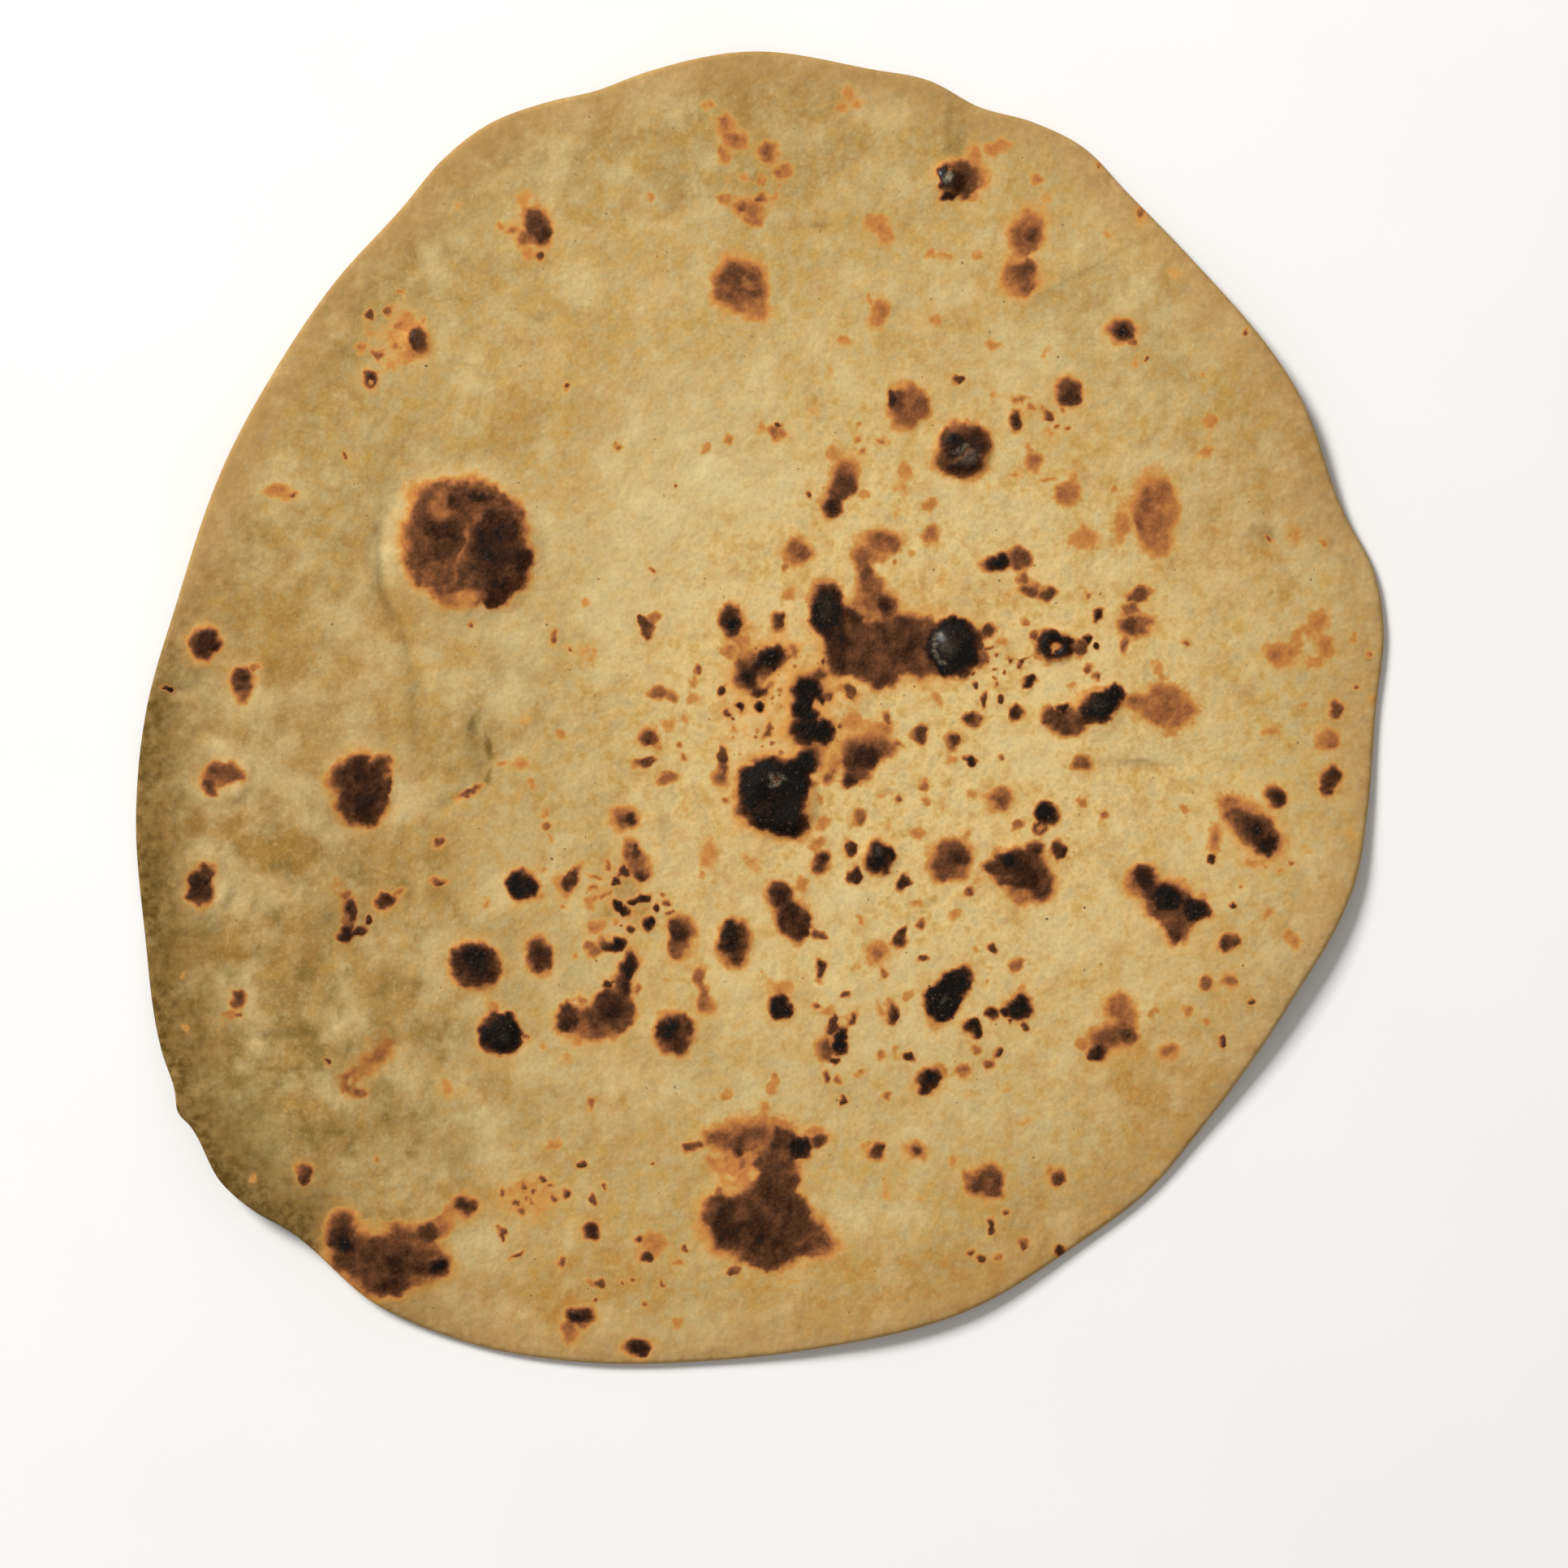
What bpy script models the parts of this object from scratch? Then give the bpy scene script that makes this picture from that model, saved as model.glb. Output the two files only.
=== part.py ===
"""A whole wheat chapati: one thin round of griddled dough, lying with its browned side up.

Everything is in metres with +Z up. The origin is the middle of the outline, on the surface
that the bread lies on. +X and +Y run across the bread, +X to the right and +Y to the top as
one looks down on it. The bread is one closed body: an uneven top with blisters and creases,
an underside that lies flat in the middle and lifts a little here and there at the rim, and
a half-round rim that joins the two.
"""

import math

import bmesh
import bpy
import numpy as np
from mathutils import Vector, noise
from mathutils.geometry import delaunay_2d_cdt

MM = 0.001

# Driving sizes
MIDDLE_THICKNESS = 2.1 * MM
RIM_THICKNESS = 1.5 * MM
THINNING_BAND = 16.0 * MM
RIM_ROUNDING = 0.8 * MM

# Where the hand-rolled outline turns: bearing from +X in degrees, distance from the middle in mm
RIM_POINTS = (
    (0.0, 85.6), (8.0, 87.5), (12.5, 87.5), (18.5, 85.6), (30.0, 86.5), (47.0, 86.6),
    (55.0, 88.2), (60.0, 90.1), (65.0, 90.0), (70.0, 89.1), (75.0, 90.5), (80.0, 90.3),
    (91.0, 91.3), (100.0, 89.8), (105.0, 88.8), (109.0, 89.3), (115.0, 89.6), (120.0, 88.2),
    (125.0, 85.8), (135.0, 83.7), (145.0, 82.1), (155.0, 81.6), (170.0, 82.3), (180.0, 85.2),
    (190.0, 88.0), (200.0, 90.9), (210.0, 95.6), (213.2, 96.8), (214.7, 98.0), (216.2, 97.7),
    (221.5, 99.2), (225.0, 98.5), (227.5, 97.4), (237.5, 98.2), (245.0, 96.9), (255.0, 93.9),
    (265.0, 90.9), (275.0, 89.1), (290.0, 88.2), (300.0, 86.5), (310.0, 85.8), (315.5, 84.7),
    (330.0, 84.0), (345.0, 86.0), (350.0, 85.6),
)

# Where the rim curls off the surface: bearing in degrees, reach inwards and height in mm
LIFTS = (
    (36.0, 42.0, 2.2),
    (98.0, 34.0, 1.1),
    (158.0, 40.0, 1.7),
    (222.0, 46.0, 2.6),
    (284.0, 34.0, 1.0),
    (334.0, 40.0, 1.9),
)

# Broad puffed areas of the top: centre, half sizes, turn in degrees and height in mm
PUFFS = (
    ((-62.0, -2.0), (15.0, 26.0), 8.0, 0.5),
    ((-30.0, 44.0), (24.0, 15.0), 20.0, 0.35),
    ((30.0, 56.0), (26.0, 14.0), -15.0, 0.3),
    ((52.0, 2.0), (22.0, 16.0), 30.0, 0.35),
    ((8.0, -44.0), (28.0, 14.0), 0.0, 0.35),
    ((-58.0, -52.0), (17.0, 15.0), 40.0, 0.6),
)

# Blisters: centre, radius and height in mm, the share of the radius where the flat top begins,
# and how much of the height is lost again where the top has sunk in
BLISTERS = (
    ((-40.8, 22.9), 11.6, 1.05, 0.78, 0.35),
    ((-74.9, -8.8), 5.6, 0.50, 0.60, 0.20),
    ((-77.6, -24.3), 5.4, 0.50, 0.60, 0.20),
    ((-55.5, -10.8), 6.0, 0.45, 0.50, 0.20),
    ((-76.8, 9.2), 3.4, 0.35, 0.30, 0.00),
    ((-47.4, 51.1), 2.6, 0.50, 0.20, 0.00),
    ((26.1, 73.4), 3.4, 0.85, 0.20, 0.00),
    ((20.7, 42.1), 3.4, 0.40, 0.40, 0.00),
    ((28.4, 36.1), 4.4, 0.75, 0.55, 0.35),
    ((26.6, 8.7), 3.6, 1.05, 0.15, 0.00),
    ((41.0, 8.7), 2.8, 0.60, 0.55, 0.70),
    ((2.7, -12.5), 6.2, 0.85, 0.60, 0.40),
    ((46.6, -0.5), 4.6, 0.45, 0.40, 0.00),
    ((16.5, -20.4), 3.4, 0.45, 0.30, 0.00),
    ((35.9, -21.8), 4.4, 0.45, 0.40, 0.00),
    ((-3.5, -32.2), 3.4, 0.50, 0.30, 0.00),
    ((-39.5, -35.6), 4.2, 0.40, 0.50, 0.00),
    ((-36.1, -44.8), 3.6, 0.55, 0.20, 0.00),
    ((-11.6, -44.8), 3.6, 0.55, 0.20, 0.00),
    ((0.4, -69.5), 9.5, 0.45, 0.50, 0.15),
    ((-51.4, -75.0), 8.5, 0.45, 0.50, 0.15),
)

# Creases and folds of the top: points along them, half width and depth in mm; a ridge has a
# depth below nothing
CREASES = (
    (((-50.4, 30.5), (-53.2, 22.0), (-51.2, 14.5), (-47.0, 4.0), (-46.6, -9.0)), 2.4, 0.45),
    (((-39.9, -0.6), (-37.9, -6.8), (-38.3, -11.6)), 1.8, 0.45),
    (((-44.4, -14.2), (-40.5, -11.2)), 1.5, 0.30),
    (((-17.2, -10.8), (-14.4, -15.0), (-13.6, -20.0)), 1.6, -0.30),
    (((-83.0, 2.8), (-78.5, 2.4)), 1.6, 0.50),
    (((-30.5, 60.0), (-29.0, 40.0), (-33.0, 34.0)), 3.5, 0.25),
    (((48.0, -8.0), (60.0, -6.5), (70.0, -10.0)), 3.0, 0.25),
    (((-74.0, -36.0), (-66.0, -46.0), (-52.0, -50.0)), 3.2, 0.35),
)

# Small unevenness of the top, in mm, with more of it towards the lower left of the rim
NOISE_WAVELENGTH = 9.0 * MM
NOISE_HEIGHT = 0.10 * MM
ROUGH_CORNER = ((-72.0 * MM, -42.0 * MM), 46.0 * MM, 0.22 * MM)

# How finely the skin is divided
RIM_STEPS = 216
RIM_ROWS = 4
TOP_SPACING = 3.4 * MM
UNDERSIDE_SPACING = 6.5 * MM
DETAIL_MARGIN = 1.2 * MM
MERGE_DISTANCE = 0.001 * MM

CRUST_COLOUR = (0.56, 0.42, 0.19, 1.0)
CRUST_ROUGHNESS = 0.8


def clear_objects():
    """Remove whatever the file holds, so that only the bread is in it."""
    for item in list(bpy.data.objects):
        bpy.data.objects.remove(item, do_unlink=True)


def rim_radius(bearing):
    """Distance of the rim from the middle at bearings in degrees, on a smooth closed curve."""
    angles = np.array([angle for angle, _ in RIM_POINTS])
    radii = np.array([radius for _, radius in RIM_POINTS]) * MM
    angles = np.concatenate((angles[-2:] - 360.0, angles, angles[:3] + 360.0))
    radii = np.concatenate((radii[-2:], radii, radii[:3]))
    slopes = np.gradient(radii, angles)
    wrapped = np.mod(bearing, 360.0)
    index = np.searchsorted(angles, wrapped, side="right") - 1
    span = angles[index + 1] - angles[index]
    share = (wrapped - angles[index]) / span
    square, cube = share ** 2, share ** 3
    return (radii[index] * (2.0 * cube - 3.0 * square + 1.0)
            + slopes[index] * span * (cube - 2.0 * square + share)
            + radii[index + 1] * (3.0 * square - 2.0 * cube)
            + slopes[index + 1] * span * (cube - square))


def inset_outline(inset):
    """Points of the outline, moved in from the rim along the bearing by inset."""
    bearings = np.arange(RIM_STEPS) * (360.0 / RIM_STEPS)
    radii = rim_radius(bearings) - inset
    angles = np.radians(bearings)
    return np.column_stack((radii * np.cos(angles), radii * np.sin(angles)))


def rim_distance(x, y):
    """How far inside the rim each point lies, measured along its bearing."""
    return rim_radius(np.degrees(np.arctan2(y, x))) - np.hypot(x, y)


def smooth_step(low, high, value):
    """Run smoothly from 0 at low to 1 at high."""
    share = np.clip((value - low) / (high - low), 0.0, 1.0)
    return share * share * (3.0 - 2.0 * share)


def soft_hill(reach):
    """A hill of height 1 that ends at a reach of 1."""
    return np.clip(1.0 - reach ** 2, 0.0, None) ** 3


def lift_height(x, y):
    """How far the underside stands off the surface; nothing at all in the middle."""
    total = np.zeros_like(x)
    for bearing, reach, height in LIFTS:
        angle = math.radians(bearing)
        crest = float(rim_radius(np.array([bearing]))[0])
        across = np.hypot(x - crest * math.cos(angle), y - crest * math.sin(angle))
        total += height * MM * soft_hill(across / (reach * MM))
    return total


def puff_height(x, y):
    """Broad puffed areas of the top."""
    total = np.zeros_like(x)
    for (centre_x, centre_y), (half_x, half_y), turn, height in PUFFS:
        cosine, sine = math.cos(math.radians(turn)), math.sin(math.radians(turn))
        dx, dy = x - centre_x * MM, y - centre_y * MM
        along = (dx * cosine + dy * sine) / (half_x * MM)
        across = (dy * cosine - dx * sine) / (half_y * MM)
        total += height * MM * soft_hill(np.hypot(along, across))
    return total


def blister_height(x, y):
    """Blisters: a smooth shoulder up to a top that is domed, or flat and sunk in."""
    total = np.zeros_like(x)
    for (centre_x, centre_y), radius, height, top_share, sunk in BLISTERS:
        reach = np.hypot(x - centre_x * MM, y - centre_y * MM) / (radius * MM)
        dome = 1.0 - smooth_step(top_share, 1.0, reach)
        hollow = 1.0 - smooth_step(0.1, max(top_share, 0.2), reach)
        total += height * MM * (dome - sunk * hollow)
    return total


def line_distance(x, y, points):
    """Distance of each point from a chain of straight runs, and the share along the chain."""
    corners = [Vector(point) * MM for point in points]
    lengths = [(b - a).length for a, b in zip(corners, corners[1:])]
    whole = sum(lengths)
    nearest = np.full_like(x, np.inf)
    place = np.zeros_like(x)
    passed = 0.0
    for start, end, length in zip(corners, corners[1:], lengths):
        run = (end - start) / length
        along = np.clip((x - start.x) * run.x + (y - start.y) * run.y, 0.0, length)
        gap = np.hypot(x - start.x - along * run.x, y - start.y - along * run.y)
        closer = gap < nearest
        nearest = np.where(closer, gap, nearest)
        place = np.where(closer, (passed + along) / whole, place)
        passed += length
    return nearest, place


def crease_height(x, y):
    """Creases and ridges, fading out towards both of their ends."""
    total = np.zeros_like(x)
    for points, half_width, depth in CREASES:
        gap, place = line_distance(x, y, points)
        fade = 0.35 + 0.65 * np.sin(np.pi * place)
        total -= depth * MM * fade * soft_hill(gap / (half_width * MM))
    return total


def small_unevenness(x, y):
    """The gentle lumps of hand-rolled dough."""
    (corner_x, corner_y), reach, extra = ROUGH_CORNER
    strength = NOISE_HEIGHT + extra * soft_hill(np.hypot(x - corner_x, y - corner_y) / reach)
    waves = [noise.noise(Vector((px, py, 0.0)) / NOISE_WAVELENGTH) for px, py in zip(x, y)]
    return strength * np.array(waves)


def thickness(x, y):
    """Plain thickness of the dough, which thins towards the rim."""
    share = smooth_step(0.0, THINNING_BAND, rim_distance(x, y))
    return RIM_THICKNESS + (MIDDLE_THICKNESS - RIM_THICKNESS) * share


def top_height(x, y):
    """Height of the top surface."""
    relief = puff_height(x, y) + blister_height(x, y) + crease_height(x, y) + small_unevenness(x, y)
    calm_rim = smooth_step(0.0, 6.0 * MM, rim_distance(x, y))
    return lift_height(x, y) + thickness(x, y) + relief * calm_rim


def detail_mask(x, y):
    """True where blisters and creases need closer points."""
    wanted = np.zeros(x.shape, dtype=bool)
    for (centre_x, centre_y), radius, _, _, _ in BLISTERS:
        reach = np.hypot(x - centre_x * MM, y - centre_y * MM)
        wanted |= reach < radius * MM + DETAIL_MARGIN
    for points, half_width, _ in CREASES:
        gap, _ = line_distance(x, y, points)
        wanted |= gap < half_width * MM
    return wanted


def lattice(spacing, clearance):
    """Points of an even triangular lattice that lie at least a clearance inside the rim."""
    row_gap = spacing * math.sqrt(3.0) / 2.0
    count = int(math.ceil(110.0 * MM / row_gap))
    column, row = np.meshgrid(np.arange(-count, count + 1), np.arange(-count, count + 1))
    x = (column + 0.5 * np.mod(row, 2)) * spacing
    y = (row + 1.0 / 3.0) * row_gap
    x, y = x.ravel() + 0.5 * spacing, y.ravel()
    kept = rim_distance(x, y) > clearance
    return x[kept], y[kept]


def top_points():
    """Lattice points of the top, at half the spacing round blisters and creases."""
    coarse_x, coarse_y = lattice(TOP_SPACING, RIM_ROUNDING + 0.5 * TOP_SPACING)
    fine_x, fine_y = lattice(0.5 * TOP_SPACING, RIM_ROUNDING + 0.5 * TOP_SPACING)
    kept = ~detail_mask(coarse_x, coarse_y)
    added = detail_mask(fine_x, fine_y)
    x = np.concatenate((coarse_x[kept], fine_x[added]))
    y = np.concatenate((coarse_y[kept], fine_y[added]))
    return np.column_stack((x, y))


def underside_points():
    """Lattice points of the underside."""
    x, y = lattice(UNDERSIDE_SPACING, RIM_ROUNDING + 0.4 * UNDERSIDE_SPACING)
    return np.column_stack((x, y))


def triangulate(outline, inner):
    """Join an outline and the points inside it into triangles, facing up."""
    places = [Vector(point) for point in np.vstack((outline, inner))]
    border = list(range(len(outline)))
    flat, _, faces, sources, _, _ = delaunay_2d_cdt(places, [], [border], 1, MERGE_DISTANCE)
    origin = [source[0] for source in sources]
    triangles = []
    for face in faces:
        a, b, c = (flat[index] for index in face)
        turn = (b - a).cross(c - a)
        ordered = face if turn > 0.0 else tuple(reversed(face))
        triangles.append(tuple(origin[index] for index in ordered))
    return triangles


def rim_rows(bm, shift):
    """Rows of vertices round the half-round rim, from the top edge to the bottom edge."""
    rows = []
    edge = inset_outline(RIM_ROUNDING)
    low = lift_height(edge[:, 0], edge[:, 1])
    high = top_height(edge[:, 0], edge[:, 1])
    for row in range(RIM_ROWS + 1):
        turn = math.pi * (0.5 - row / RIM_ROWS)
        ring = inset_outline(RIM_ROUNDING * (1.0 - math.cos(turn)))
        heights = 0.5 * (low + high) + 0.5 * (high - low) * math.sin(turn)
        rows.append([
            bm.verts.new((px - shift.x, py - shift.y, pz))
            for (px, py), pz in zip(ring, heights)
        ])
    return rows


def add_surface(bm, border, inner, heights, shift, facing_up):
    """Fill a border of vertices with a triangulated surface of the given heights."""
    triangles = triangulate(inset_outline(RIM_ROUNDING), inner)
    added = [
        bm.verts.new((px - shift.x, py - shift.y, pz))
        for (px, py), pz in zip(inner, heights)
    ]
    corners = border + added
    for a, b, c in triangles:
        order = (a, b, c) if facing_up else (c, b, a)
        bm.faces.new([corners[index] for index in order])


def outline_middle():
    """Middle of the box round the outline, which becomes the origin."""
    widest = inset_outline(0.0)
    return Vector((widest.min(axis=0) + widest.max(axis=0)) / 2.0)


def crust_material():
    """Pale wheat crust, as an even base colour."""
    material = bpy.data.materials.new("chapati_crust")
    material.use_nodes = True
    shader = material.node_tree.nodes["Principled BSDF"]
    shader.inputs["Base Color"].default_value = CRUST_COLOUR
    shader.inputs["Roughness"].default_value = CRUST_ROUGHNESS
    shader.inputs["Metallic"].default_value = 0.0
    material.diffuse_color = CRUST_COLOUR
    return material


def make_chapati():
    """Build the whole bread as one closed body."""
    shift = outline_middle()
    bm = bmesh.new()
    rows = rim_rows(bm, shift)
    for upper, lower in zip(rows, rows[1:]):
        for step in range(RIM_STEPS):
            after = (step + 1) % RIM_STEPS
            bm.faces.new((upper[step], lower[step], lower[after]))
            bm.faces.new((upper[step], lower[after], upper[after]))
    top = top_points()
    add_surface(bm, rows[0], top, top_height(top[:, 0], top[:, 1]), shift, True)
    under = underside_points()
    add_surface(bm, rows[-1], under, lift_height(under[:, 0], under[:, 1]), shift, False)
    mesh = bpy.data.meshes.new("chapati")
    bm.to_mesh(mesh)
    bm.free()
    mesh.shade_smooth()
    mesh.materials.append(crust_material())
    bread = bpy.data.objects.new("chapati", mesh)
    bpy.context.scene.collection.objects.link(bread)
    return bread


def main():
    clear_objects()
    make_chapati()


main()
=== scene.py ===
"""The looks of a hand-rolled whole wheat chapati that lies with its griddled side up.

The bread is one closed skin. Its outline, thickness, lifted rim, blisters and creases have the
construction's own named sizes. What is added here is the fine relief, the scorch marks, the tone
of the dough, the bran in it and the crumbs of char on its burnt places. Lengths are in metres,
and +Z points up out of the griddled side. Places that were read off the photograph are given in
its pixels, and the class PhotoRuler turns them into places on the bread.
"""

import logging
import math
from collections.abc import Iterable, Sequence
from dataclasses import dataclass, field
from enum import Enum
from functools import reduce

import bpy
import numpy as np
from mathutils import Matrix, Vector, noise
from mathutils.geometry import delaunay_2d_cdt


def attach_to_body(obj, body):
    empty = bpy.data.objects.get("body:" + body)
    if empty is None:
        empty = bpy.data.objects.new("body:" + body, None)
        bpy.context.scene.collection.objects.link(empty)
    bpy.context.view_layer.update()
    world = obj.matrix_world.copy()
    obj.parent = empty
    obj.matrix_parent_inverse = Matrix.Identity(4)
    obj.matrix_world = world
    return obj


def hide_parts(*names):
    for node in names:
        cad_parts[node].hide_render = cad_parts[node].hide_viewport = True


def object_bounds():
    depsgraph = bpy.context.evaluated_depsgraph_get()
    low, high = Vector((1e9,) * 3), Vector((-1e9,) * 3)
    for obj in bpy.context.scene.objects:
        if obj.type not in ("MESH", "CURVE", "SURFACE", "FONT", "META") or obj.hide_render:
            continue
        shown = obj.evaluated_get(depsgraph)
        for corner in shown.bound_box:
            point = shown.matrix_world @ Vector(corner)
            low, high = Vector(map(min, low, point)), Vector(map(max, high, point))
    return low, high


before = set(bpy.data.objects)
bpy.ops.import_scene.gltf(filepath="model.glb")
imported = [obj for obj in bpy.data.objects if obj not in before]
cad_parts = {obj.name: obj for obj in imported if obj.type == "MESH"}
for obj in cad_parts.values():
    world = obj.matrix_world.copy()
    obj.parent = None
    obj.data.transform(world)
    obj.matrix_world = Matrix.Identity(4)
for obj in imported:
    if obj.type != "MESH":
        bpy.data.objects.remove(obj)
CAD_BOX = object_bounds()

MM = 0.001
BODY = "root"
NODE = "chapati"
CLOUD_ROUGHNESS = 0.58

Array = np.ndarray
Socket = bpy.types.NodeSocket
Colour = tuple[float, float, float, float]
Pair = tuple[float, float]
Row = tuple[float, ...]
# The size of a noise's lumps, how many finer layers it has, and the slice that it is taken from
Noise = tuple[float, float, float]
# The low and high end that a value is read between, and what they turn into, if not 0 and 1
Span = tuple[float, ...]
log = logging.getLogger("chapati")


class Browning(Enum):
    """How far a mark on the crust has browned, from 0 for plain dough to 1 for char."""

    GOLD = 0.18
    ORANGE = 0.32
    RUST = 0.42
    CHESTNUT = 0.52
    UMBER = 0.60
    BROWN = 0.71
    DARK = 0.84
    CHAR = 1.0


class Tint(Enum):
    """The soft tones of the dough between the scorch marks."""

    TOAST = "toast"
    # Olive-brown tone of the dough, partly painted shade along creases and in the dark lower left
    OLIVE = "olive"
    PALE = "pale"
    # Mostly painted shade in the creases and folds; a few rows are small soft dark spots of the dough
    FOLD = "fold"


class Layer(Enum):
    """Names of the numbers that each point of the skin carries for its finish."""

    SCORCH = "scorch"
    HALO = "halo"
    # Painted light: the middle of the dough is painted lighter, as if more light fell there
    BRIGHT = "bright"
    SPATTER = "spatter"
    # Pale ash and dried dough on the char, with painted highlights and glints
    ASH = "ash"
    TOAST = "toast"
    # Olive tone of the dough together with painted shade: the left side, the hollows and the creases
    OLIVE = "olive"
    PALE = "pale"
    RIM = "rim"
    # Painted shade: the dark olive edge of one side of the rim, and the painted shade of the folds
    DEEP = "deep"
    SHINE = "shine"
    OPEN = "open"
    FLECK = "fleck_tone"


def smooth_step(low: float, high: float, value: Array) -> Array:
    """Run smoothly from 0 at low to 1 at high."""
    share = np.clip((value - low) / (high - low), 0.0, 1.0)
    return share * share * (3.0 - 2.0 * share)


def soft_hill(reach: Array) -> Array:
    """Return a hill of height 1 in the middle that ends at a reach of 1."""
    return np.clip(1.0 - reach ** 2, 0.0, None) ** 3


def shade(red: int, green: int, blue: int) -> Colour:
    """Turn a colour as seen on a screen into Blender's linear one.

    Args:
        red: Red as seen, from 0 to 255.
        green: Green as seen.
        blue: Blue as seen.

    Returns:
        The linear colour with full opacity.
    """
    seen = np.array((red, green, blue)) / 255.0
    linear = np.where(seen <= 0.04045, seen / 12.92, ((seen + 0.055) / 1.055) ** 2.4)
    return (*(float(part) for part in linear), 1.0)


def noise_at(x: Array, y: Array, wavelength: float, slice_at: float = 0.0) -> Array:
    """Return smooth noise of about -1 to 1 at each place, from one slice of the noise."""
    columns, rows = x / wavelength, y / wavelength
    return np.array([noise.noise((px, py, slice_at)) for px, py in zip(columns, rows)])


def chain_distance(x: Array, y: Array, points: Sequence[Pair]) -> tuple[Array, Array]:
    """Distance of each place from a chain of straight runs.

    Args:
        x: Places across.
        y: Places along.
        points: The corners of the chain in millimetres.

    Returns:
        The distance from the chain, and the share of the way along it.
    """
    corners = [Vector(point) * MM for point in points]
    lengths = [(b - a).length for a, b in zip(corners, corners[1:])]
    whole = sum(lengths)
    nearest = np.full_like(x, np.inf)
    place = np.zeros_like(x)
    passed = 0.0
    for start, end, length in zip(corners, corners[1:], lengths):
        run = (end - start) / length
        along = np.clip((x - start.x) * run.x + (y - start.y) * run.y, 0.0, length)
        gap = np.hypot(x - start.x - along * run.x, y - start.y - along * run.y)
        closer = gap < nearest
        nearest = np.where(closer, gap, nearest)
        place = np.where(closer, (passed + along) / whole, place)
        passed += length
    return nearest, place


@dataclass(frozen=True)
class PhotoRuler:
    """Turns the photograph's pixels into places on the bread."""

    pixel: float = 0.1125 * MM
    middle: Pair = (936.0, 874.0)
    side: float = 1932.0

    def place(self, column: float, row: float) -> Pair:
        """Return the place on the bread under a pixel."""
        return (column - self.middle[0]) * self.pixel, (self.middle[1] - row) * self.pixel

    def width(self) -> float:
        """Return how much of the table the whole picture takes in."""
        return self.side * self.pixel


RULER = PhotoRuler()


@dataclass(frozen=True)
class Patch:
    """An oval area of the crust, turned anticlockwise, with a strength."""

    x: float
    y: float
    half_x: float
    half_y: float
    turn: float
    strength: float

    @classmethod
    def from_photo(cls, row: Row, strength: float) -> "Patch":
        """Make a patch from a row of photo pixels.

        Args:
            row: Column and row of the middle, half width, and if they differ from it and from 0,
                half height and turn in degrees.
            strength: How strong the patch is.

        Returns:
            The patch at its place on the bread.
        """
        column, line, half_x = row[:3]
        half_y = row[3] if len(row) > 3 else half_x
        turn = row[4] if len(row) > 4 else 0.0
        x, y = RULER.place(column, line)
        return cls(x, y, half_x * RULER.pixel, half_y * RULER.pixel, math.radians(turn), strength)

    def small_half(self) -> float:
        """Return the shorter of the two half sizes."""
        return min(self.half_x, self.half_y)

    def large_half(self) -> float:
        """Return the longer of the two half sizes."""
        return max(self.half_x, self.half_y)

    def reach(self, x: Array, y: Array) -> Array:
        """Return 0 in the middle of the patch, 1 on its edge and more outside."""
        cosine, sine = math.cos(self.turn), math.sin(self.turn)
        dx, dy = x - self.x, y - self.y
        return np.hypot((dx * cosine + dy * sine) / self.half_x,
                        (dy * cosine - dx * sine) / self.half_y)

    def inward(self, x: Array, y: Array) -> Array:
        """Return roughly how far inside the edge each place lies; outside it is below 0."""
        return (1.0 - self.reach(x, y)) * self.small_half()

    def near(self, x: Array, y: Array, margin: float) -> Array:
        """Return the numbers of the places in the square round the patch and its margin."""
        size = self.large_half() + margin
        return np.flatnonzero((np.abs(x - self.x) < size) & (np.abs(y - self.y) < size))


def patches_of(table: Iterable[tuple[Row, float]]) -> tuple[Patch, ...]:
    """Return the patches of a table of rows in photo pixels and strengths."""
    return tuple(Patch.from_photo(row, strength) for row, strength in table)


def faded(patches: Iterable[Patch], fade: Pair, x: Array, y: Array) -> list[Array]:
    """Return each patch's strength at the places, faded out between two values of its reach."""
    return [patch.strength * (1.0 - smooth_step(*fade, patch.reach(x, y))) for patch in patches]


def strongest(patches: Iterable[Patch], fade: Pair, x: Array, y: Array) -> Array:
    """Return the strength of the strongest patch at each place, or 0 where none reaches."""
    return np.max([np.zeros_like(x), *faded(patches, fade, x, y)], axis=0)


def overlaid(start: Array, shares: Iterable[Array]) -> Array:
    """Return how much is covered when shares of cover are laid over a start, one by one."""
    return reduce(lambda total, share: total + (1.0 - total) * share, shares, start)


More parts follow.
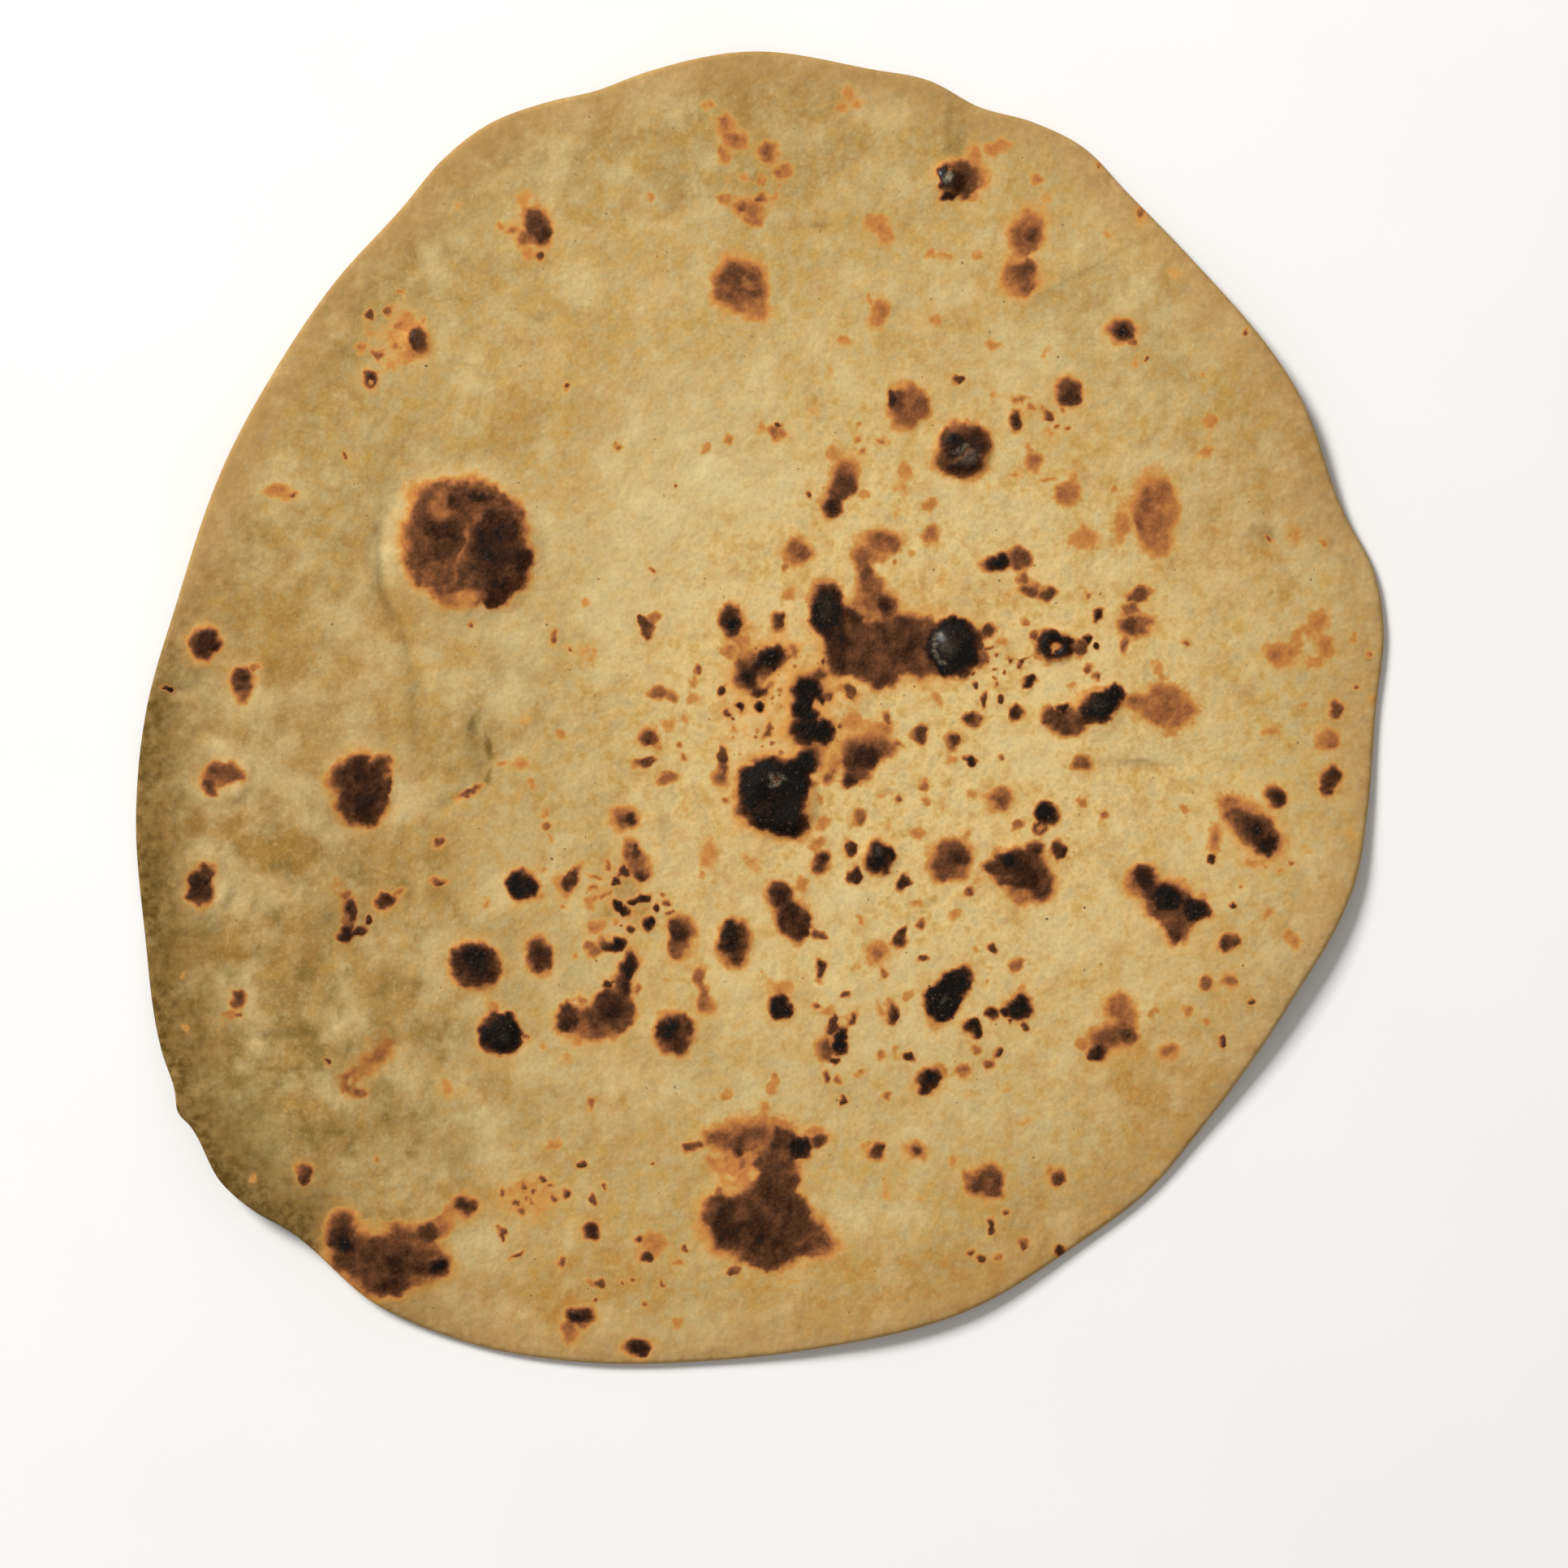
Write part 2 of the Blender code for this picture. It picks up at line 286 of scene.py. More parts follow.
@dataclass(frozen=True)
class Outline:
    """The hand-rolled outline and its half-round edge.

    Each turn is a bearing from +X in degrees and a distance from the middle in millimetres. The
    trim keeps the skin just inside the straight edges of the construction's outline.
    """

    turns: tuple[Pair, ...] = (
        (0.0, 85.6), (8.0, 87.5), (12.5, 87.5), (18.5, 85.6), (30.0, 86.5), (47.0, 86.6),
        (55.0, 88.2), (60.0, 90.1), (65.0, 90.0), (70.0, 89.1), (75.0, 90.5), (80.0, 90.3),
        (91.0, 91.3), (100.0, 89.8), (105.0, 88.8), (109.0, 89.3), (115.0, 89.6), (120.0, 88.2),
        (125.0, 85.8), (135.0, 83.7), (145.0, 82.1), (155.0, 81.6), (170.0, 82.3), (180.0, 85.2),
        (190.0, 88.0), (200.0, 90.9), (210.0, 95.6), (213.2, 96.8), (214.7, 98.0), (216.2, 97.7),
        (221.5, 99.2), (225.0, 98.5), (227.5, 97.4), (237.5, 98.2), (245.0, 96.9), (255.0, 93.9),
        (265.0, 90.9), (275.0, 89.1), (290.0, 88.2), (300.0, 86.5), (310.0, 85.8), (315.5, 84.7),
        (330.0, 84.0), (345.0, 86.0), (350.0, 85.6),
    )
    rounding: float = 0.8 * MM
    trim: float = 0.03 * MM
    steps: int = 900
    rows: int = 6

    def radius(self, bearing: Array) -> Array:
        """Distance of the edge from the middle, on a smooth closed curve through the turns.

        Args:
            bearing: Bearings from +X in degrees.

        Returns:
            One distance for each bearing.
        """
        angles = np.array([angle for angle, _ in self.turns])
        radii = np.array([radius for _, radius in self.turns]) * MM
        angles = np.concatenate((angles[-2:] - 360.0, angles, angles[:3] + 360.0))
        radii = np.concatenate((radii[-2:], radii, radii[:3]))
        slopes = np.gradient(radii, angles)
        wrapped = np.mod(bearing, 360.0)
        index = np.searchsorted(angles, wrapped, side="right") - 1
        span = angles[index + 1] - angles[index]
        share = (wrapped - angles[index]) / span
        square, cube = share ** 2, share ** 3
        return (radii[index] * (2.0 * cube - 3.0 * square + 1.0)
                + slopes[index] * span * (cube - 2.0 * square + share)
                + radii[index + 1] * (3.0 * square - 2.0 * cube)
                + slopes[index + 1] * span * (cube - square))

    def ring(self, inset: float) -> Array:
        """Place the points of the outline.

        Args:
            inset: How far they are moved in along their bearings.

        Returns:
            The points in order, from bearing 0 on.
        """
        bearings = np.arange(self.steps) * (360.0 / self.steps)
        radii = self.radius(bearings) - inset
        angles = np.radians(bearings)
        return np.column_stack((radii * np.cos(angles), radii * np.sin(angles)))

    def depth(self, x: Array, y: Array) -> Array:
        """Return how far inside the edge each place lies, along its bearing."""
        return self.radius(np.degrees(np.arctan2(y, x))) - np.hypot(x, y)

    def middle(self) -> Array:
        """Return the middle of the box round the outline, which is the bread's origin."""
        widest = self.ring(0.0)
        return (widest.min(axis=0) + widest.max(axis=0)) / 2.0


@dataclass(frozen=True)
class Form:
    """The shape of the dough that the construction has too, in millimetres and degrees.

    Lifts are where the rim curls off the surface: bearing, reach inwards and height. Puffs are
    broad raised areas: centre, half sizes, turn and height. Blisters are a centre, radius and
    height, the share of the radius where the flat top begins, and how much of the height is lost
    again where the top has sunk in. Creases are the points along them, half width and depth.
    """

    middle_thickness: float = 2.1 * MM
    rim_thickness: float = 1.5 * MM
    thinning_band: float = 16.0 * MM
    calm_band: float = 6.0 * MM
    unevenness: float = 0.10 * MM
    unevenness_wavelength: float = 9.0 * MM
    rough_corner: Pair = (-72.0 * MM, -42.0 * MM)
    rough_reach: float = 46.0 * MM
    rough_height: float = 0.22 * MM
    sunk_from: float = 0.1
    sunk_least: float = 0.2
    crease_ends: float = 0.35
    lifts: tuple[Row, ...] = (
        (36.0, 42.0, 2.2), (98.0, 34.0, 1.1), (158.0, 40.0, 1.7), (222.0, 46.0, 2.6),
        (284.0, 34.0, 1.0), (334.0, 40.0, 1.9),
    )
    puffs: tuple[Row, ...] = (
        (-62.0, -2.0, 15.0, 26.0, 8.0, 0.5), (-30.0, 44.0, 24.0, 15.0, 20.0, 0.35),
        (30.0, 56.0, 26.0, 14.0, -15.0, 0.3), (52.0, 2.0, 22.0, 16.0, 30.0, 0.35),
        (8.0, -44.0, 28.0, 14.0, 0.0, 0.35), (-58.0, -52.0, 17.0, 15.0, 40.0, 0.6),
    )
    blisters: tuple[Row, ...] = (
        (-40.8, 22.9, 11.8, 0.85, 0.60, 0.30), (-74.9, -8.8, 5.6, 0.50, 0.60, 0.20),
        (-77.6, -24.3, 5.4, 0.50, 0.60, 0.20), (-55.5, -10.8, 6.0, 0.45, 0.50, 0.20),
        (-76.8, 9.2, 3.4, 0.35, 0.30, 0.00), (-47.4, 51.1, 2.6, 0.50, 0.20, 0.00),
        (26.1, 73.4, 3.4, 0.85, 0.20, 0.00), (20.7, 42.1, 3.4, 0.40, 0.40, 0.00),
        (28.4, 36.1, 4.4, 0.75, 0.55, 0.35), (26.6, 8.7, 3.6, 1.05, 0.15, 0.00),
        (41.0, 8.7, 2.8, 0.60, 0.55, 0.70), (2.7, -12.5, 6.2, 0.85, 0.60, 0.40),
        (46.6, -0.5, 4.6, 0.45, 0.40, 0.00), (16.5, -20.4, 3.4, 0.45, 0.30, 0.00),
        (35.9, -21.8, 4.4, 0.45, 0.40, 0.00), (-3.5, -32.2, 3.4, 0.50, 0.30, 0.00),
        (-39.5, -35.6, 4.2, 0.40, 0.50, 0.00), (-36.1, -44.8, 3.6, 0.55, 0.20, 0.00),
        (-11.6, -44.8, 3.6, 0.55, 0.20, 0.00), (0.4, -69.5, 9.5, 0.45, 0.50, 0.15),
        (-51.4, -75.0, 8.5, 0.45, 0.50, 0.15),
    )
    creases: tuple[tuple[tuple[Pair, ...], float, float], ...] = (
        (((-50.4, 30.5), (-53.2, 22.0), (-51.2, 14.5), (-47.0, 4.0), (-46.6, -9.0)), 2.4, 0.45),
        (((-39.9, -0.6), (-37.9, -6.8), (-38.3, -11.6)), 1.8, 0.45),
        (((-44.4, -14.2), (-40.5, -11.2)), 1.5, 0.30),
        (((-17.2, -10.8), (-14.4, -15.0), (-13.6, -20.0)), 1.6, -0.30),
        (((-83.0, 2.8), (-78.5, 2.4)), 1.6, 0.50),
        (((-30.5, 60.0), (-29.0, 40.0), (-33.0, 34.0)), 3.5, 0.25),
        (((48.0, -8.0), (60.0, -6.5), (70.0, -10.0)), 3.0, 0.25),
        (((-74.0, -36.0), (-66.0, -46.0), (-52.0, -50.0)), 3.2, 0.35),
    )

    def lift_height(self, outline: Outline, x: Array, y: Array) -> Array:
        """Find how far the underside stands off the surface, which is nothing in the middle.

        Args:
            outline: The outline, on which each lift has its crest.
            x: Places across.
            y: Places along.

        Returns:
            One height for each place.
        """
        total = np.zeros_like(x)
        for bearing, reach, height in self.lifts:
            angle = math.radians(bearing)
            crest = float(outline.radius(np.array([bearing]))[0])
            across = np.hypot(x - crest * math.cos(angle), y - crest * math.sin(angle))
            total += height * MM * soft_hill(across / (reach * MM))
        return total

    def thickness(self, outline: Outline, x: Array, y: Array) -> Array:
        """Return the plain thickness of the dough, which thins towards the rim."""
        share = smooth_step(0.0, self.thinning_band, outline.depth(x, y))
        return self.rim_thickness + (self.middle_thickness - self.rim_thickness) * share

    def puff_height(self, x: Array, y: Array) -> Array:
        """Return the height of the broad puffed areas."""
        puffs = (Patch(mid_x * MM, mid_y * MM, half_x * MM, half_y * MM, math.radians(turn), height * MM)
                 for mid_x, mid_y, half_x, half_y, turn, height in self.puffs)
        return sum(puff.strength * soft_hill(puff.reach(x, y)) for puff in puffs)

    def blister_height(self, x: Array, y: Array) -> Array:
        """Find the height of the blisters, each with a shoulder and a domed or sunken top.

        Args:
            x: Places across.
            y: Places along.

        Returns:
            One height for each place.
        """
        total = np.zeros_like(x)
        for centre_x, centre_y, radius, height, top_share, sunk in self.blisters:
            reach = np.hypot(x - centre_x * MM, y - centre_y * MM) / (radius * MM)
            dome = 1.0 - smooth_step(top_share, 1.0, reach)
            hollow = 1.0 - smooth_step(self.sunk_from, max(top_share, self.sunk_least), reach)
            total += height * MM * (dome - sunk * hollow)
        return total

    def crease_height(self, x: Array, y: Array) -> Array:
        """Find the depth of the creases, which fade out towards both of their ends.

        Args:
            x: Places across.
            y: Places along.

        Returns:
            One height for each place, below 0 in a crease.
        """
        total = np.zeros_like(x)
        for points, half_width, depth in self.creases:
            gap, share = chain_distance(x, y, points)
            fade = self.crease_ends + (1.0 - self.crease_ends) * np.sin(np.pi * share)
            total -= depth * MM * fade * soft_hill(gap / (half_width * MM))
        return total

    def lump_height(self, x: Array, y: Array) -> Array:
        """Return the gentle lumps of hand-rolled dough, stronger towards the rough corner."""
        away = np.hypot(x - self.rough_corner[0], y - self.rough_corner[1])
        strength = self.unevenness + self.rough_height * soft_hill(away / self.rough_reach)
        return strength * noise_at(x, y, self.unevenness_wavelength)


# Scorch marks of the griddled side by how far they have browned: see Patch.from_photo
SCORCHES: dict[Browning, tuple[Row, ...]] = {
    Browning.CHAR: (
        (1019, 757, 20, 34), (996, 852, 21, 24), (998, 900, 27, 18), (1017, 908, 12, 13), (996, 932, 13, 17),
        (950, 980, 43, 46), (949, 810, 16, 15), (909, 869, 6), (936, 871, 9, 8, 30), (1180, 545, 18, 14),
        (1228, 692, 18, 11), (963, 523, 6, 5), (1100, 493, 6, 12), (1298, 797, 24, 20), (1351, 757, 8),
        (1337, 785, 8), (1352, 797, 6), (1267, 837, 9, 7), (1357, 868, 29, 22, 15), (1370, 858, 15),
        (1310, 874, 7, 6), (1192, 939, 7), (1289, 1004, 15, 13), (1083, 1057, 20, 19),
        (1113, 1087, 6, 11, -35), (1438, 1105, 22, 16, -35), (1472, 1120, 18, 17), (1545, 1022, 17, 13, -40),
        (1564, 1042, 12, 13), (1160, 1235, 23, 24), (1178, 1212, 15, 24, -25), (1220, 1247, 9),
        (1257, 1241, 19, 17), (1240, 1245, 9, 6), (1200, 1268, 11), (1143, 1333, 16, 17),
        (961, 1240, 16, 17), (1036, 1283, 11, 17), (985, 1412, 15, 18), (643, 1090, 18, 20),
        (753, 1163, 18, 10), (775, 1192, 11, 20, -10), (803, 1140, 9), (768, 1118, 15, 7, -25),
        (789, 1107, 13, 6, 10), (616, 1274, 26, 27), (715, 1620, 21, 13), (786, 1660, 20, 11),
        (459, 466, 9, 12, 15), (208, 849, 6, 4), (427, 1533, 12, 14), (540, 1563, 16, 11),
        (1172, 797, 34, 38), (1243, 1060, 15, 13), (992, 872, 19, 20), (994, 942, 14, 28, -40),
        (980, 962, 20, 28), (972, 1014, 26, 18), (930, 965, 24, 26), (1018, 735, 17, 20),
        (588, 1186, 20, 18), (948, 811, 19, 16), (905, 768, 9, 13), (922, 836, 11, 14), (1168, 243, 9, 7),
        (1376, 408, 11, 10), (1168, 1226, 20, 36, -30), (917, 828, 12, 13), (666, 1178, 8, 15, 15),
        (826, 1267, 16, 20), (901, 1156, 16, 22), (1184, 811, 21, 26), (1163, 222, 8, 19, 12),
    ),
    Browning.DARK: (
        (1035, 815, 13, 18), (1218, 776, 10, 9), (1090, 745, 10, 14), (975, 1012, 20, 19),
        (920, 985, 14, 28), (920, 830, 14), (933, 849, 13, 11), (900, 764, 11, 16), (905, 776, 9),
        (889, 853, 5), (895, 880, 4, 6), (1014, 815, 4), (1036, 897, 4), (1068, 930, 24, 16, 20),
        (1046, 962, 11, 10), (962, 762, 7, 6), (1203, 844, 4), (1214, 861, 4, 8), (1236, 860, 5),
        (1224, 847, 3), (1255, 819, 4), (1245, 815, 3), (1215, 798, 3), (1237, 830, 3), (1170, 572, 18, 14),
        (1320, 487, 11), (1253, 519, 8, 14), (1027, 624, 13, 17), (1180, 469, 5, 4), (998, 609, 4, 5),
        (1349, 833, 4), (1411, 445, 3.5), (1356, 203, 5, 4), (1200, 885, 11), (1252, 877, 8, 12, -35),
        (1283, 1020, 9), (1306, 1047, 8, 14, -12), (1228, 1070, 14, 9), (1266, 1082, 18, 16),
        (1012, 1063, 13, 15), (1052, 1078, 8, 11), (1046, 1045, 8, 12), (1570, 983, 12, 17, 20),
        (1493, 1058, 6), (1412, 1084, 14, 20, 30), (1518, 1117, 4), (1513, 1163, 13, 9, 20),
        (1107, 1155, 7, 14, -40), (1137, 1178, 7, 4, 20), (1223, 1167, 6, 7), (1010, 1193, 8, 10),
        (1353, 1298, 12, 13), (1098, 1249, 9, 14, -10), (1122, 1304, 6, 5), (1228, 1297, 6, 8),
        (1038, 1356, 5), (1024, 1262, 6, 14), (1048, 1256, 5, 12, -20), (1028, 1308, 8, 6),
        (1126, 1416, 9, 7), (1304, 1541, 6, 7), (1210, 1551, 6, 5), (885, 1515, 13, 16), (1262, 1265, 5),
        (1246, 1258, 4), (665, 1178, 15, 24, 15), (768, 1215, 13, 18), (752, 1243, 24), (700, 1255, 14, 15),
        (745, 1214, 6), (783, 1048, 7, 10), (767, 1072, 5, 8), (759, 1084, 6), (811, 1118, 6),
        (779, 1144, 6), (775, 1010, 11, 8), (962, 1103, 17), (978, 1133, 21, 27, 20), (730, 1516, 11, 12),
        (573, 1483, 17, 12), (797, 1550, 9, 8), (697, 1469, 6, 7), (715, 1437, 7, 5), (698, 477, 3.5),
        (590, 612, 26, 7, -25), (436, 1120, 8, 16), (427, 1150, 12, 11), (446, 1146, 8, 7), (453, 1132, 5),
        (475, 1112, 12, 11), (403, 1307, 3.5), (423, 563, 3.5), (363, 608, 5, 2.5), (425, 1525, 15, 25),
        (480, 1586, 24, 12), (1030, 785, 18, 34), (1033, 815, 14, 20), (620, 698, 34), (610, 730, 18, 20),
        (645, 688, 14, 28), (560, 652, 16, 24, 30), (536, 655, 22, 12, -35), (1276, 1048, 12),
        (612, 666, 34, 46), (938, 1516, 34, 22), (895, 1506, 20), (488, 1560, 24, 16), (586, 1190, 30, 27),
        (902, 764, 14, 19), (919, 830, 18, 16), (934, 850, 16, 10, 10), (960, 808, 12, 14),
        (446, 962, 27, 33), (452, 1004, 18), (247, 1098, 17, 22), (598, 612, 24, 8, -20),
        (790, 1078, 11, 10), (1546, 1026, 38, 17, -42), (1252, 1062, 27, 20), (932, 820, 16, 10, 35),
        (253, 792, 16), (302, 838, 8, 9), (1639, 956, 15, 12), (1490, 1057, 6), (838, 1147, 13, 17),
        (1203, 790, 10, 16), (1190, 556, 27, 31, -20), (1178, 560, 20, 24), (1219, 797, 3), (1226, 809, 3),
        (1223, 826, 2.5), (1200, 832, 3), (1223, 839, 2.5), (1176, 224, 14, 19), (942, 1500, 20, 13),
        (446, 984, 19),
    ),
    Browning.BROWN: (
        (1108, 792, 26, 38), (1084, 836, 24, 12), (962, 812, 8, 15), (1018, 855, 9, 7), (960, 767, 9, 12),
        (947, 899, 5, 9, -25), (891, 931, 7, 10), (888, 951, 9, 14, -15), (1316, 483, 16),
        (1042, 593, 15, 22), (1255, 690, 16, 12), (1268, 725, 13, 8), (1290, 730, 13, 7), (1290, 512, 7, 6),
        (1301, 524, 3), (1314, 527, 3), (1328, 796, 8, 12), (1275, 785, 7, 6), (1338, 823, 5),
        (1386, 797, 6, 12, -10), (1535, 410, 4), (1673, 848, 3), (1180, 1052, 16, 15), (1163, 1070, 16, 18),
        (1298, 887, 14, 12), (1275, 1098, 13), (1132, 903, 8, 12), (1171, 912, 10, 12), (1440, 1135, 12, 16),
        (1190, 1100, 9, 6, 40), (1136, 1139, 5, 7), (1108, 984, 4), (1092, 884, 4, 8), (1235, 934, 3),
        (1018, 1292, 11, 14), (1213, 1457, 22), (1257, 1532, 7, 9), (1219, 1512, 6, 8), (1217, 1312, 6, 7),
        (1304, 1451, 11), (1078, 1418, 9, 10), (1504, 1281, 6, 7), (1540, 1232, 5), (908, 1410, 13, 14),
        (1010, 1405, 14, 8, 20), (855, 1413, 12, 7, 15), (1021, 1328, 4, 6), (1041, 1226, 6, 5),
        (1005, 1237, 4), (1195, 1544, 4), (1236, 1494, 4), (585, 1190, 32, 28), (905, 1180, 13, 14),
        (735, 1255, 20, 18), (1007, 1153, 10, 7), (799, 909, 12, 10), (795, 940, 14, 7, 10), (703, 797, 3.5),
        (797, 773, 9, 12), (790, 765, 6, 7), (906, 1565, 7, 5), (785, 1528, 5), (621, 1521, 5, 6),
        (729, 1479, 5, 8), (636, 1482, 5), (643, 1492, 4), (666, 1453, 4, 5), (638, 1548, 8, 4, 15),
        (683, 1478, 4), (690, 1555, 4.5), (740, 1580, 5), (615, 1514, 3), (675, 1462, 3), (656, 1472, 3),
        (657, 1482, 3), (650, 1478, 3), (645, 1464, 3), (778, 1576, 3), (767, 1580, 3), (747, 1462, 3),
        (805, 1434, 3), (762, 550, 3), (832, 600, 3), (808, 703, 3), (818, 1104, 3), (824, 1112, 3),
        (827, 1125, 3), (619, 1470, 4), (847, 1540, 4), (818, 1580, 4), (734, 1600, 4), (794, 1605, 4),
        (667, 314, 5, 6), (420, 960, 14, 20), (425, 992, 12, 10), (470, 945, 14, 12), (475, 965, 8, 12),
        (543, 1087, 9, 5, -20), (376, 1442, 10, 12), (525, 1518, 15, 12), (562, 610, 46, 18),
        (532, 706, 26, 20), (1132, 798, 34, 40), (1048, 778, 22, 32), (1094, 748, 14, 20),
        (1258, 1070, 36, 26), (1282, 1086, 18, 20), (1056, 936, 22, 26), (945, 1542, 42, 21),
        (956, 1450, 29, 46), (890, 1496, 24, 26), (968, 1412, 24, 26), (478, 1580, 32, 18),
        (423, 1520, 20, 28), (1008, 830, 12, 10), (538, 668, 34, 50, -4), (925, 1520, 56, 28),
        (975, 1508, 30, 24), (484, 1556, 42, 28), (1080, 802, 56, 38), (515, 1562, 26, 16),
        (440, 1540, 22, 20), (508, 690, 12, 22), (1402, 732, 13, 11), (915, 818, 12, 14), (905, 782, 10),
        (1186, 222, 20, 24), (446, 985, 30, 34), (256, 1073, 13, 11), (606, 690, 46, 54),
        (950, 1478, 36, 28), (922, 1490, 30, 24), (972, 1500, 28, 32), (468, 1550, 62, 31),
        (950, 1520, 62, 34), (1445, 1116, 38, 26, -35), (1448, 1146, 16, 17), (757, 1245, 28, 29),
        (905, 1160, 20, 28), (1268, 285, 10, 17, -18), (1380, 408, 17, 15), (663, 278, 17, 24, 20),
        (1527, 1006, 20, 14, -20), (253, 792, 19, 18), (298, 840, 15, 18), (1632, 972, 10, 9),
        (1108, 494, 10, 14), (1034, 606, 14), (1546, 1024, 40, 21, -42), (943, 818, 22, 14, 25),
        (916, 832, 15, 18), (705, 1085, 9, 21, -34), (293, 1232, 9, 11), (295, 1253, 3.5),
        (578, 975, 15, 4, 26), (840, 1278, 15, 19), (832, 1272, 25, 27), (262, 967, 11), (1198, 536, 20, 14),
        (1395, 770, 11, 12), (1318, 888, 23, 15), (1188, 555, 33, 36, -24), (457, 389, 6, 7),
        (515, 419, 13, 18), (1386, 1273, 8, 9), (1562, 662, 5, 4),
    ),
    Browning.UMBER: (
        (1334, 941, 12, 11), (1066, 708, 12, 16), (983, 677, 11, 12), (903, 340, 16, 24), (897, 362, 17, 12),
        (926, 352, 13, 20), (910, 255, 9, 7), (937, 243, 8, 6), (1232, 984, 9, 7), (772, 1009, 15, 11),
        (1046, 580, 11, 14), (1418, 610, 14, 18), (1172, 1060, 25, 28, -25), (1082, 925, 22, 14),
        (905, 1408, 24, 16), (1074, 730, 16, 22), (990, 1520, 32, 22), (516, 1558, 38, 24),
        (448, 1545, 38, 28), (500, 1527, 36, 17), (1112, 770, 30, 16), (1178, 205, 12, 10),
        (576, 668, 75, 78), (432, 1335, 7, 9), (447, 1344, 9, 6), (783, 1058, 12, 22, 12),
        (1254, 1189, 6, 11), (1485, 1211, 9, 7), (1647, 875, 9, 11), (568, 658, 70, 64), (908, 346, 22, 24),
        (541, 1038, 6, 8), (579, 769, 3.5), (683, 785, 5, 10), (288, 951, 14, 11), (270, 945, 19, 7),
        (840, 1156, 15, 24), (1209, 812, 8, 13), (1213, 780, 8, 9), (479, 385, 5, 8), (425, 1336, 5, 7, 20),
        (466, 436, 8, 7), (1046, 851, 7, 10), (1258, 330, 15, 12), (1387, 1273, 16, 15),
        (1372, 1276, 21, 13), (1463, 792, 4, 3),
    ),
    Browning.CHESTNUT: (
        (1085, 667, 26, 13), (1063, 690, 12, 16), (1117, 765, 16, 12), (983, 679, 17, 18), (968, 699, 5, 6),
        (950, 845, 8, 5), (903, 813, 4), (912, 796, 4, 9), (978, 803, 6, 9), (1020, 957, 9), (1034, 917, 3),
        (999, 967, 4, 6), (893, 989, 4.5), (1065, 925, 30, 22, 15), (1090, 920, 12, 10), (1106, 918, 8, 4),
        (1046, 574, 12, 14), (1259, 712, 7), (957, 533, 11, 7), (1058, 541, 4), (1086, 544, 6, 4),
        (1066, 556, 4), (1257, 493, 8, 4), (1270, 505, 4), (1309, 505, 4), (1103, 693, 3, 5), (1264, 767, 5),
        (1417, 729, 6), (1393, 750, 8, 9), (1415, 766, 8, 7), (1339, 733, 4), (1391, 422, 7),
        (1401, 868, 14, 13), (1232, 984, 15), (1137, 968, 6, 7), (1333, 989, 7), (1360, 1004, 6, 7),
        (1514, 1208, 8), (1059, 1007, 8, 9), (1255, 1018, 8), (1090, 1199, 4, 6), (1400, 1090, 10, 14),
        (1560, 1068, 3), (1575, 1072, 3), (1588, 1064, 3), (1530, 1092, 2.5), (1695, 865, 4),
        (1213, 860, 4, 8), (1440, 1297, 13, 9), (1462, 1246, 5), (1187, 1320, 9, 10, 20),
        (1126, 1416, 14, 11), (1093, 1352, 5), (1085, 1300, 5, 4), (1058, 1323, 5, 4), (1036, 1331, 4, 5),
        (1201, 1292, 4), (930, 1402, 30, 18), (882, 1402, 16, 9), (915, 1432, 6, 8), (888, 1470, 6, 8),
        (1228, 1548, 4), (772, 1009, 17, 13), (822, 960, 13, 7, 20), (810, 853, 8), (823, 857, 7),
        (859, 826, 7), (839, 917, 4), (845, 931, 4), (808, 762, 7, 5, 45), (672, 1022, 7, 4), (748, 1065, 5),
        (735, 1078, 7, 3), (733, 1093, 5, 4), (748, 1098, 7, 3), (733, 1107, 4), (742, 1103, 4),
        (733, 1172, 9, 6), (726, 1165, 5), (788, 1216, 5, 7), (725, 1258, 20, 18), (718, 1236, 5),
        (862, 1202, 7, 12), (868, 1220, 8, 12), (870, 1237, 12, 13), (710, 1180, 4), (693, 1117, 3),
        (645, 1280, 5), (760, 1135, 4), (727, 1358, 5, 6), (839, 1556, 5, 4), (489, 361, 3),
        (632, 280, 9, 7), (650, 295, 11, 10), (427, 1103, 7), (490, 1101, 9, 5, 35), (425, 1505, 14),
        (315, 1450, 3), (465, 1428, 3), (1398, 772, 19, 16), (928, 820, 24, 22), (425, 1339, 5),
        (432, 1130, 9, 26), (1408, 642, 10, 14), (702, 1640, 13), (1366, 1280, 22, 19), (1378, 1240, 16, 18),
        (1265, 288, 20, 29, -18), (1258, 342, 20, 25), (735, 1262, 36, 22), (912, 350, 28, 30),
        (1121, 499, 26), (1497, 1034, 7, 8), (300, 858, 8, 7), (314, 823, 6, 5), (1082, 1178, 6),
        (1421, 618, 19, 27), (346, 607, 12, 5), (945, 188, 7, 9), (903, 168, 9, 7), (1407, 261, 8, 11),
        (228, 1208, 2.2), (228, 1265, 2.2), (273, 954, 24, 14), (837, 1173, 8, 9), (1004, 1535, 18, 14),
        (1000, 1528, 28, 17), (487, 425, 5, 8), (523, 394, 3.5), (925, 806, 6, 5), (1250, 491, 4, 3.5),
        (1259, 496, 4, 3.5), (1272, 506, 3), (1283, 504, 3), (1686, 810, 4),
    ),
    Browning.RUST: (
        (912, 352, 34, 36), (930, 384, 18, 15), (925, 256, 18, 11), (927, 270, 12, 11), (945, 188, 13),
        (965, 212, 12, 11), (907, 173, 14, 12, -25), (1083, 383, 13, 15), (1426, 665, 18, 20), (615, 278, 5),
        (893, 155, 10, 12), (548, 625, 20, 15), (1264, 1098, 26, 16), (930, 1398, 46, 20),
        (1075, 742, 26, 22), (540, 1512, 18, 10, 30), (1078, 902, 22, 16), (930, 1512, 66, 36),
